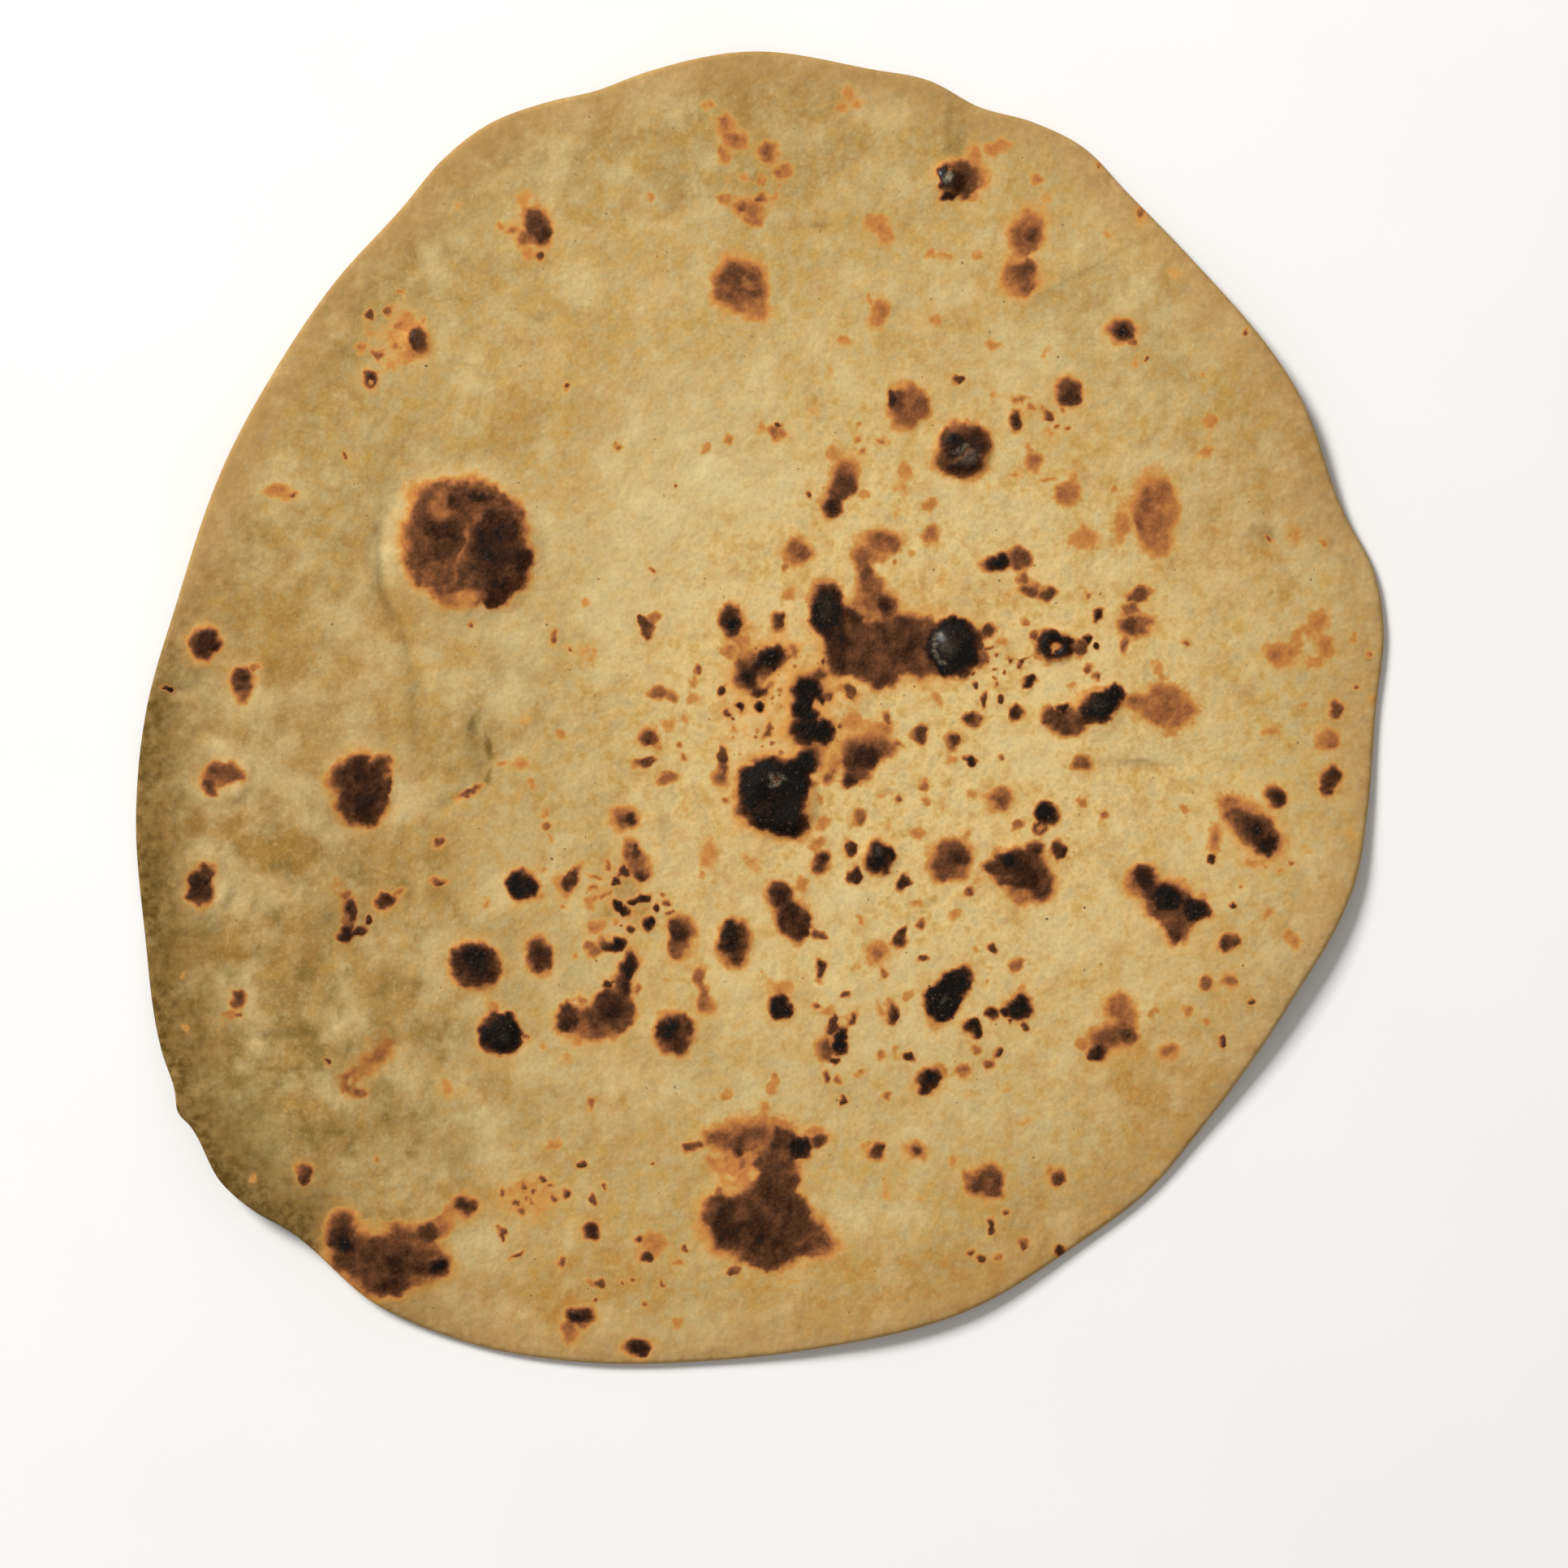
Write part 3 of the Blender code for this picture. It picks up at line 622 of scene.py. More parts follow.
        (1012, 1536, 20, 14), (478, 1552, 56, 40), (1316, 607, 15, 17), (1196, 218, 18, 22), (430, 1330, 10),
        (1568, 810, 9), (1310, 604, 9), (480, 1550, 66, 46), (1277, 222, 7), (1404, 1088, 20, 17),
        (1148, 662, 12, 11), (1533, 1006, 38, 20, -36), (1497, 1036, 9, 15), (1423, 631, 28, 46),
        (1440, 872, 37, 27), (345, 607, 17, 9), (1638, 913, 15, 13), (572, 671, 77), (493, 403, 6),
        (445, 430, 7), (1316, 611, 14, 12), (898, 803, 9, 6), (914, 789, 8, 7), (1386, 652, 6, 13),
        (1273, 569, 10, 12), (1430, 868, 28, 16), (1388, 1255, 16), (1080, 681, 14, 12),
    ),
    Browning.ORANGE: (
        (1065, 738, 12), (1035, 848, 9, 6), (925, 808, 8), (970, 731, 10, 9), (915, 773, 10, 12),
        (893, 800, 8, 6), (902, 806, 8, 5), (919, 790, 5), (1050, 890, 14), (1025, 940, 10, 16),
        (905, 900, 4), (1012, 987, 6, 8), (1015, 1013, 9, 8), (1237, 793, 8, 6), (1155, 863, 9, 8),
        (1110, 520, 12, 7), (1031, 560, 9, 12), (1066, 608, 8, 7), (1113, 580, 10, 11), (1146, 619, 12, 9),
        (1122, 683, 5), (1058, 526, 3), (1266, 551, 6, 5), (1251, 587, 6, 4), (1290, 592, 12, 4),
        (1320, 585, 6, 8), (938, 530, 8, 7), (940, 220, 6, 9), (960, 230, 3), (1045, 117, 8, 9),
        (1055, 127, 8, 6), (1035, 133, 8), (1200, 190, 8, 14), (1195, 242, 8, 6), (1145, 313, 7, 6),
        (1165, 316, 12, 5), (1205, 312, 6, 5), (1070, 367, 5), (1224, 422, 7, 6), (1382, 647, 12, 24),
        (1488, 520, 8, 9), (1487, 558, 13, 5, 15), (1479, 467, 4), (1427, 820, 7, 12, 25), (1435, 833, 6, 7),
        (1596, 788, 10), (1612, 778, 10, 8), (1396, 447, 5, 7), (1321, 847, 5), (1438, 903, 9, 6),
        (1172, 936, 6, 5), (1202, 977, 6), (1088, 978, 7, 4), (1142, 990, 6, 5), (1128, 1028, 10, 7),
        (1190, 1030, 4, 6), (1220, 1000, 6, 7), (1050, 1015, 5), (1463, 997, 8, 7), (1563, 904, 13, 6),
        (1607, 867, 4), (1560, 1127, 8, 7), (1590, 1156, 9), (1176, 1128, 9, 7), (1130, 1114, 8, 6),
        (1080, 1175, 13, 16, -35), (1062, 1135, 4), (1204, 1171, 4), (1214, 1208, 4), (1205, 1085, 8, 4, 35),
        (1005, 1038, 12, 8), (1262, 1220, 6), (1118, 1227, 8, 7), (1010, 1207, 6), (1335, 1285, 9, 8),
        (1423, 1247, 5), (1487, 1258, 6, 5, -30), (1155, 1320, 9, 8), (1106, 1297, 5, 8), (1082, 1246, 6, 9),
        (1019, 1243, 7), (953, 1335, 6, 13, -15), (943, 1363, 6, 8), (945, 1384, 42, 11),
        (1005, 1395, 14, 6), (888, 1440, 5, 12), (1292, 1441, 8, 6), (1066, 1410, 7, 6), (1176, 1430, 7, 6),
        (960, 1217, 15, 8), (852, 840, 5, 7), (853, 862, 9, 6), (822, 892, 9, 7), (845, 890, 5, 6),
        (812, 921, 6), (721, 742, 6), (692, 908, 6), (653, 965, 6), (670, 1003, 7, 8), (640, 939, 9),
        (622, 942, 5, 4), (680, 1037, 4), (596, 1110, 5), (668, 1070, 5), (665, 1105, 7, 5),
        (728, 1112, 5, 6), (735, 1140, 14, 8, 25), (872, 1052, 12, 18), (866, 1078, 5, 6),
        (988, 1090, 8, 10), (608, 1243, 10, 8), (715, 1280, 10, 7), (667, 1291, 4), (551, 1339, 7, 8),
        (682, 1410, 8, 6), (892, 1350, 6, 5), (805, 1535, 15), (555, 1497, 14, 8, 35), (730, 1578, 8, 5),
        (897, 541, 6), (872, 552, 8, 6), (832, 1630, 8, 6), (502, 398, 14, 10), (505, 440, 15, 8),
        (460, 408, 10, 6), (444, 430, 8), (645, 243, 9), (648, 256, 6, 10), (655, 312, 10, 7),
        (872, 129, 8, 7), (893, 155, 13, 14), (893, 190, 9), (917, 221, 4), (893, 247, 9, 8),
        (955, 242, 8, 5), (235, 790, 6, 5), (285, 1252, 10, 8), (800, 243, 5), (908, 1430, 34, 32),
        (1575, 806, 19, 16), (1632, 797, 12, 14), (1618, 815, 13, 9), (1626, 765, 13, 19),
        (1206, 220, 16, 14), (1631, 671, 5), (1669, 784, 6), (484, 1281, 7, 5), (1224, 186, 10, 7),
        (1237, 181, 8), (1364, 292, 4), (1546, 1062, 16, 7), (436, 1325, 10, 12), (468, 1296, 9, 24, -42),
        (1040, 420, 12, 6, -30), (353, 614, 10, 6), (1079, 275, 15, 12), (1090, 290, 9, 13),
        (1153, 396, 8, 6), (690, 1089, 9, 12), (1333, 665, 16, 15), (1382, 645, 11, 23), (484, 451, 7, 4),
        (499, 447, 9, 5), (1226, 487, 6, 4), (1375, 605, 5), (457, 1308, 11, 20, -42),
    ),
    Browning.GOLD: (
        (935, 776, 4, 3), (1240, 735, 6), (1160, 715, 5, 8), (1002, 508, 7), (1023, 455, 5, 6),
        (1110, 602, 8, 9), (1105, 637, 4, 8), (1002, 643, 8, 5), (1295, 538, 8, 10), (1224, 600, 4, 8),
        (1228, 486, 6, 5), (1088, 400, 5), (1288, 437, 5, 7), (1282, 256, 4, 8, -30), (1318, 254, 4),
        (1293, 350, 4), (1492, 538, 4, 10), (1594, 659, 11, 13), (1270, 978, 6, 7), (1160, 996, 3, 5),
        (1093, 1012, 5, 12), (1460, 1031, 5, 6), (1608, 1045, 6), (1665, 1025, 7), (1055, 1193, 8, 6),
        (1092, 1462, 5, 20), (1135, 1473, 5), (1423, 1446, 4), (1363, 1493, 4), (1193, 1348, 4),
        (1241, 1343, 4), (1261, 1381, 5), (979, 1580, 8, 6), (1288, 1447, 6), (637, 982, 4), (843, 995, 5),
        (927, 1063, 7, 12, 15), (697, 1303, 9, 9, 40), (725, 803, 10, 12), (697, 535, 4), (670, 1126, 4),
        (930, 1060, 5), (936, 1200, 4), (820, 1205, 4), (565, 252, 5), (900, 223, 3), (415, 1090, 8, 10),
        (650, 1475, 36, 24), (500, 418, 24, 30), (1288, 245, 6, 7), (1446, 336, 9, 7),
        (460, 1304, 17, 42, -42), (642, 886, 13, 8, 35),
    ),
}

# Lighter places inside the marks, some of them painted highlights: the row, and how far browned they still
# are
CLEARINGS_AND_HIGHLIGHTS: tuple[tuple[Row, float], ...] = (
    # The row at 958, 963 is a painted highlight streak in the large char
    ((1299, 796, 8, 6, 15), 0.3), ((1007, 867, 6, 7), 0.2), ((958, 963, 10, 5, 20), 0.7),
    ((1185, 562, 22, 4, 30), 0.6), ((1398, 655, 3, 10), 0.1), ((1612, 799, 9), 0.1),
    # Painted highlight: the thin lighter line along the big blister's crease, from 589, 632 to 561, 708
    ((1024, 1282, 5, 7), 0.35), ((544, 624, 13, 18), 0.46), ((589, 632, 8, 14), 0.54),
    ((577, 657, 3, 16), 0.52), ((569, 684, 3, 14, -24), 0.56), ((561, 708, 4, 12, -14), 0.56),
    ((575, 735, 18, 13), 0.32), ((552, 738, 13, 8), 0.42), ((530, 704, 15), 0.54),
    ((622, 708, 3, 14, -35), 0.76), ((546, 704, 6, 18, -20), 0.58), ((902, 1450, 9, 5), 0.1),
    ((930, 1444, 6, 9), 0.12), ((886, 1424, 10, 5), 0.15), ((459, 466, 3), 0.3), ((915, 390, 8, 6), 0.3),
    ((465, 1512, 16, 12), 0.15), ((437, 1330, 5), 0.1), ((771, 1095, 9, 15), 0.0), ((1283, 1018, 5, 4), 0.4),
    ((918, 346, 6, 10), 0.42),
)

# Soft tones of the dough: the row, and how strong the tone is in the middle
TONES: dict[Tint, tuple[tuple[Row, float], ...]] = {
    Tint.TOAST: (
        ((462, 1303, 15, 40, -42), 1.0), ((452, 1318, 12, 22, -30), 0.8), ((1500, 640, 110), 0.42),
        ((330, 1080, 200, 380), 0.5), ((700, 1470, 60), 0.24), ((485, 720, 50, 110), 0.4),
        ((360, 990, 150, 170), 0.42), ((350, 580, 60), 0.1), ((230, 1100, 70, 220), 0.42),
        ((770, 1360, 70), 0.34), ((630, 860, 60, 50), 0.12), ((645, 495, 34, 90, -28), 0.62),
        ((350, 790, 32, 66), 0.55), ((312, 1050, 46, 115, 8), 0.75), ((510, 960, 22, 56), 0.42),
        ((590, 1480, 70, 32), 0.4), ((650, 1600, 110, 55), 0.65), ((1560, 660, 40), 0.42),
        ((1505, 690, 36, 60), 0.45), ((1590, 520, 70, 80), 0.48), ((1420, 1330, 95, 70), 0.62),
        ((1440, 1430, 95, 80), 0.36), ((1100, 1600, 190, 60), 0.55), ((1260, 1550, 110, 60, 35), 0.5),
        ((930, 105, 180, 60), 0.16), ((570, 175, 90, 50, 35), 0.24), ((480, 670, 16, 60), 0.3),
        ((410, 480, 60, 50), 0.12), ((280, 560, 46, 70), 0.22), ((1450, 300, 70, 50, -35), 0.36),
        ((1480, 1215, 70), 0.32), ((1160, 730, 70, 30), 0.35), ((890, 1060, 70, 60), 0.28),
        ((800, 330, 26, 60), 0.24), ((1150, 420, 60), 0.2), ((760, 450, 40, 70), 0.18),
        ((720, 560, 40, 80), 0.22), ((560, 760, 30, 50), 0.22), ((600, 1330, 50, 30), 0.2),
        ((1220, 740, 50, 60), 0.24), ((1340, 560, 60), 0.2), ((1620, 1120, 40, 80), 0.3),
        ((1660, 880, 40, 120), 0.3), ((500, 1420, 90, 34, 8), 0.3), ((780, 1560, 60), 0.25),
        ((1330, 1180, 60, 40), 0.14), ((450, 830, 40, 60), 0.26),
    ),
    # Olive-brown tone, partly painted shade: the thin rows along the creases and the dark patches of the
    # lower left are painted shade
    Tint.OLIVE: (
        ((930, 95, 170, 44), 0.2), ((560, 330, 90, 80), 0.16), ((232, 838, 28, 8, 32), 0.8),
        ((1300, 420, 80, 60), 0.14), ((880, 160, 430, 100), 0.3), ((630, 175, 130, 80), 0.4),
        ((470, 340, 80, 170, -38), 0.42), ((370, 1000, 160, 190), 0.3), ((350, 970, 60, 80), 0.1),
        ((700, 960, 110, 240), 0.18), ((770, 1120, 40, 44), 0.44), ((1410, 400, 90, 110), 0.36),
        ((1470, 560, 90, 110), 0.1), ((290, 1340, 60), 0.66), ((420, 1290, 70), 0.48),
        ((345, 1405, 64, 50), 0.56), ((420, 1110, 50, 70), 0.42), ((340, 1270, 56, 10), 0.34),
        ((1430, 1090, 100, 80), 0.14), ((285, 640, 50, 90), 0.3), ((545, 1200, 50), 0.36),
        ((630, 850, 60, 56), 0.34), ((315, 905, 70, 50), 0.22), ((490, 650, 50, 80), 0.16),
        ((420, 1000, 40, 80), 0.34), ((400, 1120, 34), 0.48), ((575, 920, 70, 60), 0.26),
        ((770, 1095, 12, 18), 0.55), ((660, 1190, 80, 60), 0.12), ((400, 1290, 120, 100), 0.42),
        ((330, 1220, 70, 90), 0.36), ((570, 1270, 60, 34), 0.34), ((500, 1400, 110, 44, 10), 0.34),
        ((250, 1150, 70, 170), 0.4), ((400, 400, 60, 110, -38), 0.24), ((1178, 165, 14, 55, -4), 0.62),
        ((840, 1290, 60, 50), 0.2), ((680, 1350, 55, 60), 0.22), ((1560, 660, 20, 14), 0.55),
        ((670, 390, 11, 10), 0.55), ((645, 390, 12, 7), 0.25), ((467, 688, 5, 46), 0.85),
        ((478, 745, 5, 24, 22), 0.6), ((498, 790, 5, 40, 12), 0.5), ((1145, 1115, 60, 6, 40), 0.2),
        ((520, 905, 14, 70, 6), 0.34), ((587, 893, 5, 16, -22), 0.9), ((602, 926, 5, 26, -3), 1.0),
        ((601, 956, 5, 14, 12), 0.9), ((592, 905, 16, 36, -10), 0.35), ((660, 1380, 14, 12), 0.36),
        ((385, 1271, 24, 8, -12), 0.42), ((340, 1275, 20, 10), 0.36), ((295, 1300, 22, 28), 0.36),
        ((380, 1400, 10, 24), 0.34), ((247, 1310, 7, 12), 0.5), ((755, 1390, 80, 14, 22), 0.26),
        ((1395, 940, 60, 8, -4), 0.26), ((665, 250, 5, 12, 30), 0.55), ((680, 240, 4, 10, 30), 0.4),
        ((1315, 640, 22, 7), 0.2), ((1008, 276, 14, 8), 0.34), ((1100, 385, 10), 0.3),
        ((1150, 392, 8, 6), 0.34), ((200, 840, 26, 30), 0.7), ((232, 925, 16, 26), 0.3),
        ((330, 880, 16, 60, -8), 0.26), ((345, 430, 20, 50, -30), 0.25), ((740, 1000, 20, 40, 30), 0.16),
        ((530, 1080, 40, 60), 0.16), ((1330, 345, 60, 8, 25), 0.18), ((300, 700, 30, 80, -10), 0.2),
        ((580, 560, 40, 14, 12), 0.18),
    ),
    # Painted shade along creases and folds, and on dim marks of the left side; a few rows are small soft
    # dark spots
    Tint.FOLD: (
        ((581, 891, 4, 12, -12), 0.8), ((602, 920, 4, 18, 12), 0.8), ((599, 961, 4, 17, -22), 0.75),
        ((579, 925, 9, 28, 6), 0.36), ((466, 690, 4, 38, 4), 0.34), ((475, 750, 4, 22, 16), 0.14),
        ((498, 794, 4, 36, 14), 0.08), ((507, 910, 5, 60, 2), 0.1), ((247, 1308, 3, 11), 0.6),
        ((225, 1206, 7, 4), 0.42), ((252, 990, 6, 10, -15), 0.36), ((345, 1272, 26, 6, 6), 0.42),
        ((385, 1270, 14, 5), 0.4), ((325, 1275, 8, 9), 0.42), ((290, 1298, 18, 20), 0.24),
        ((1400, 938, 52, 3, -4), 0.22), ((1330, 338, 62, 3, 28), 0.34), ((1168, 150, 4, 44, -4), 0.3),
        ((1563, 661, 6, 5), 0.6), ((1556, 656, 17, 13), 0.26), ((1584, 703, 6, 4), 0.3),
        ((1651, 685, 6, 5), 0.26), ((1660, 692, 5, 4), 0.3), ((1686, 810, 6), 0.55),
        ((1463, 792, 7, 6), 0.5), ((1008, 277, 7, 3), 0.4), ((345, 1335, 9, 5), 0.46),
        ((324, 1332, 5, 4), 0.44),
    ),
    Tint.PALE: (
        ((850, 550, 120, 110), 0.55), ((760, 700, 90, 80), 0.48), ((510, 425, 60), 0.3),
        ((590, 290, 70, 60), 0.12), ((1612, 1190, 50, 90), 0.3), ((1655, 820, 50, 130), 0.16),
        ((1612, 630, 50, 60), 0.18), ((560, 1615, 90, 50), 0.22), ((850, 1670, 170, 40), 0.22),
        ((1190, 1615, 100, 50), 0.12), ((985, 1290, 80, 110), 0.2), ((1190, 1050, 60), 0.12),
        ((1200, 490, 70, 60), 0.1), ((800, 1400, 90, 70), 0.12), ((700, 620, 60, 50), 0.16),
        ((482, 640, 16, 60, -6), 0.55), ((600, 775, 70, 24), 0.38), ((573, 670, 98), 0.55),
        ((270, 950, 52, 44), 0.5), ((246, 1090, 48, 54), 0.48), ((446, 965, 68, 72), 0.34),
        ((1340, 830, 60, 50), 0.34), ((1010, 1130, 70, 60), 0.34), ((1130, 1250, 100, 90), 0.34),
        ((1465, 625, 22, 46), 0.42), ((1415, 565, 40, 18), 0.4), ((1260, 660, 60, 40), 0.3),
        ((960, 600, 60), 0.3), ((1180, 640, 50), 0.34), ((253, 792, 34), 0.34), ((300, 840, 30), 0.34),
        ((800, 243, 20), 0.42), ((457, 467, 24), 0.3), ((345, 607, 36, 24), 0.3),
        ((587, 1193, 48, 44), 0.22), ((616, 1275, 42), 0.4), ((735, 1225, 80), 0.3),
        ((828, 1275, 44), 0.34), ((905, 1160, 44, 52), 0.34), ((665, 1178, 34, 42), 0.3),
        ((643, 1088, 38, 40), 0.34), ((290, 1235, 34, 36), 0.38), ((455, 1310, 60, 56), 0.12),
        ((430, 1120, 56, 62), 0.14), ((580, 1400, 60), 0.2), ((620, 1040, 60), 0.22),
        ((1378, 408, 30), 0.24), ((1500, 1050, 70, 60), 0.1), ((1440, 1200, 80, 60), 0.24),
        ((1450, 1130, 60), 0.1), ((1100, 340, 90, 60), 0.18), ((1340, 440, 80, 50), 0.22),
        ((605, 1540, 60, 40), 0.3), ((330, 1400, 40, 60, 30), 0.2), ((390, 870, 40, 50), 0.2),
        ((640, 830, 60, 40), 0.22), ((1060, 1500, 80, 50), 0.16), ((1190, 1400, 90, 60), 0.2),
        ((215, 955, 20, 60), 0.22), ((1330, 300, 60), 0.16),
    ),
}

# Places of the marks that are glazed and catch the light
SHINES: tuple[tuple[Row, float], ...] = (
    ((1176, 800, 28, 34), 0.22), ((1165, 222, 13, 18), 0.4), ((518, 418, 10, 12), 0.2),
    ((1298, 797, 18, 16), 0.08), ((1188, 555, 26, 30), 0.14), ((457, 467, 9, 11), 0.2),
)

# Pale ash and dried dough on the char, and painted highlights and glints on its glazed domes:
# the row, and how thickly it lies
ASHES_AND_GLINTS: tuple[tuple[Row, float], ...] = (
    # Painted highlight: the pale arc round the left side of the glossy dome
    ((1156, 783, 7, 2.5, 40), 0.5), ((1151, 793, 2.5, 9, -4), 0.65), ((1153, 806, 2.5, 9, 18), 0.55),
    ((1161, 816, 7, 2.5, -35), 0.45), ((1167, 799, 11, 12), 0.12), ((955, 966, 10, 4, 20), 0.4),
    ((964, 957, 8, 3, -30), 0.4), ((951, 958, 4, 6), 0.4), ((1168, 219, 5, 8, -14), 0.9),
    ((1016, 748, 10, 20), 0.05), ((1184, 553, 14, 3, 30), 0.4), ((1192, 563, 15, 11), 0.16),
    ((1162, 1232, 3, 8, -30), 0.15), ((648, 1084, 3, 6, -30), 0.25), ((617, 1278, 5, 4), 0.2),
    ((1081, 1052, 5, 8), 0.16), ((1352, 868, 12, 8), 0.06),
)

# Places where the golden glow round the marks is strong
GLOWS: tuple[tuple[Row, float], ...] = (
    ((965, 865, 115, 120), 0.95), ((955, 985, 72), 0.9), ((1105, 800, 130, 75), 0.6),
    ((770, 1115, 60, 70), 0.55), ((500, 420, 45, 40), 0.6), ((1545, 1035, 50), 0.5), ((1430, 1110, 60), 0.4),
    ((640, 1480, 60, 50), 0.4), ((940, 1480, 90, 110), 0.4), ((480, 1550, 100, 70), 0.5),
)



@dataclass(frozen=True)
class HiddenRule:
    """How the marks of the underside are strewn: many small ones and a few large.

    The chances belong to the levels of browning in their order. A large mark gets a darker core.
    """

    count: int = 280
    seed: int = 11
    chances: Row = (0.08, 0.24, 0.12, 0.14, 0.10, 0.14, 0.11, 0.07)
    spread: float = 42.0 * MM
    common_half: float = 0.9 * MM
    half_spread: float = 0.75
    largest_half: float = 7.0 * MM
    rim_room: float = 5.0 * MM
    stretches: Pair = (0.6, 1.0)
    core_from: float = 2.0 * MM
    core_aside: float = 0.6
    core_darker: float = 0.2
    core_halves: Pair = (0.6, 0.5)

    def marks(self, outline: Outline) -> tuple[Patch, ...]:
        """Draw the marks.

        Args:
            outline: The outline that they stay inside.

        Returns:
            The marks of the underside.
        """
        draw = np.random.default_rng(self.seed)
        levels = np.array([level.value for level in Browning])
        marks = []
        while len(marks) < self.count:
            x, y = draw.normal(0.0, self.spread, 2)
            drawn = self.common_half * math.exp(draw.normal(0.0, self.half_spread))
            half = min(drawn, self.largest_half)
            if outline.depth(np.array([x]), np.array([y]))[0] < half + self.rim_room:
                continue
            level = float(draw.choice(levels, p=self.chances))
            stretch = draw.uniform(*self.stretches)
            marks.append(Patch(x, y, half, half * stretch, draw.uniform(0.0, math.pi), level))
            if half > self.core_from:
                aside = half * draw.uniform(-self.core_aside, self.core_aside, 2)
                darker = min(level + self.core_darker, 1.0)
                wide, tall = (share * half for share in self.core_halves)
                marks.append(Patch(x + aside[0], y + aside[1], wide, tall, 0.0, darker))
        return tuple(marks)


@dataclass(frozen=True)
class ScorchMap:
    """Scorch marks of one side of the bread, and how browned each place of it is.

    Across a mark's edge the browning first rises from nothing to the edge's own level, and then
    eases to the mark's full level further in. Marks that touch melt into each other. Outside
    them the value falls below nothing, so that it stays straight across the edges. The leans,
    each a wavelength and a shift, move the places a little, so that no edge is a clean oval.
    Each fade is the reach at which a patch begins to fade, and the one at which it ends.
    Uneven are the wavelength, the swing and the slice of the noise that stretches the edges.
    """

    marks: tuple[Patch, ...]
    clearings_and_highlights: tuple[Patch, ...] = ()
    shines: tuple[Patch, ...] = ()
    glows: tuple[Patch, ...] = ()
    ashes: tuple[Patch, ...] = ()
    nothing: float = -0.6
    edge_level: float = 0.30
    edge_share: float = 0.5
    fade_share: float = 0.36
    fades: Pair = (0.26 * MM, 0.70 * MM)
    faint_width: float = 1.7
    dark_narrowing: float = 0.9
    fade_room: float = 6.0
    ease_share: float = 0.80
    eases: Pair = (0.28 * MM, 1.05 * MM)
    uneven: tuple[float, float, float] = (3.6 * MM, 0.9, 21.0)
    melt: float = 0.12
    clearing_fade: Pair = (0.45, 1.40)
    clearing_room: float = 0.5
    small_mark: float = 0.90 * MM
    small_loss: float = 0.35
    glow_width: float = 1.9 * MM
    glow_least: float = 0.3
    glow_gain: float = 1.25
    glow_from: float = 0.5
    glow_everywhere: float = 0.24
    glow_fade: Pair = (0.6, 1.1)
    spatter_fade: Pair = (0.3, 1.2)
    ash_fade: Pair = (0.55, 1.15)
    shine_fade: Pair = (0.75, 1.0)
    lean_slices: Pair = (3.3, 8.7)
    slice_gap: float = 10.0
    leans: tuple[Pair, ...] = (
        (5.0 * MM, 0.50 * MM), (2.1 * MM, 0.55 * MM), (0.9 * MM, 0.46 * MM),
    )

    @classmethod
    def griddled_side(cls) -> "ScorchMap":
        """Return the marks of the side that shows, from the photograph."""
        table = [(row, level.value) for level, rows in SCORCHES.items() for row in rows]
        return cls(*(patches_of(rows) for rows in (table, CLEARINGS_AND_HIGHLIGHTS, SHINES, GLOWS, ASHES_AND_GLINTS)))

    def leaned(self, x: Array, y: Array) -> tuple[Array, Array]:
        """Shift places by smooth noise, so that the marks get uneven edges.

        Args:
            x: Places across.
            y: Places along.

        Returns:
            The shifted places.
        """
        moved_x, moved_y = x.copy(), y.copy()
        slice_x, slice_y = self.lean_slices
        for number, (wavelength, shift) in enumerate(self.leans):
            gap = self.slice_gap * number
            moved_x = moved_x + shift * noise_at(x, y, wavelength, slice_x + gap)
            moved_y = moved_y + shift * noise_at(x, y, wavelength, slice_y + gap)
        return moved_x, moved_y

    def browning(self, x: Array, y: Array) -> Array:
        """How far each place has browned: 0 at the outside of a mark's edge, 1 for char.

        Args:
            x: Places across, shifted by leaned.
            y: Places along, shifted by leaned.

        Returns:
            One value for each place.
        """
        total = np.full_like(x, self.nothing)
        wavelength, swing, slice_at = self.uneven
        stretch = np.exp(swing * noise_at(x, y, wavelength, slice_at))
        for mark in self.marks:
            fade = float(np.clip(self.fade_share * mark.small_half(), *self.fades))
            fade *= self.faint_width - self.dark_narrowing * mark.strength
            ease = float(np.clip(self.ease_share * mark.small_half(), *self.eases))
            loss = self.small_loss * max(1.0 - mark.small_half() / self.small_mark, 0.0)
            strength = mark.strength * (1.0 - loss)
            level = min(self.edge_level, self.edge_share * strength)
            near = mark.near(x, y, self.fade_room * fade)
            inward = mark.inward(x[near], y[near]) / stretch[near]
            further = 1.0 - np.clip(inward / ease, 0.0, 1.0)
            rise = level * (1.0 + np.minimum(inward, 0.0) / fade)
            rise += (strength - level) * (1.0 - further ** 3)
            old = total[near]
            shared = np.clip(self.melt - np.abs(old - rise), 0.0, None)
            total[near] = np.maximum(old, rise) + shared ** 2 / (4.0 * self.melt)
        for clearing in self.clearings_and_highlights:
            near = clearing.near(x, y, self.clearing_room * clearing.large_half())
            share = 1.0 - smooth_step(*self.clearing_fade, clearing.reach(x[near], y[near]))
            total[near] += share * np.minimum(clearing.strength - total[near], 0.0)
        return total

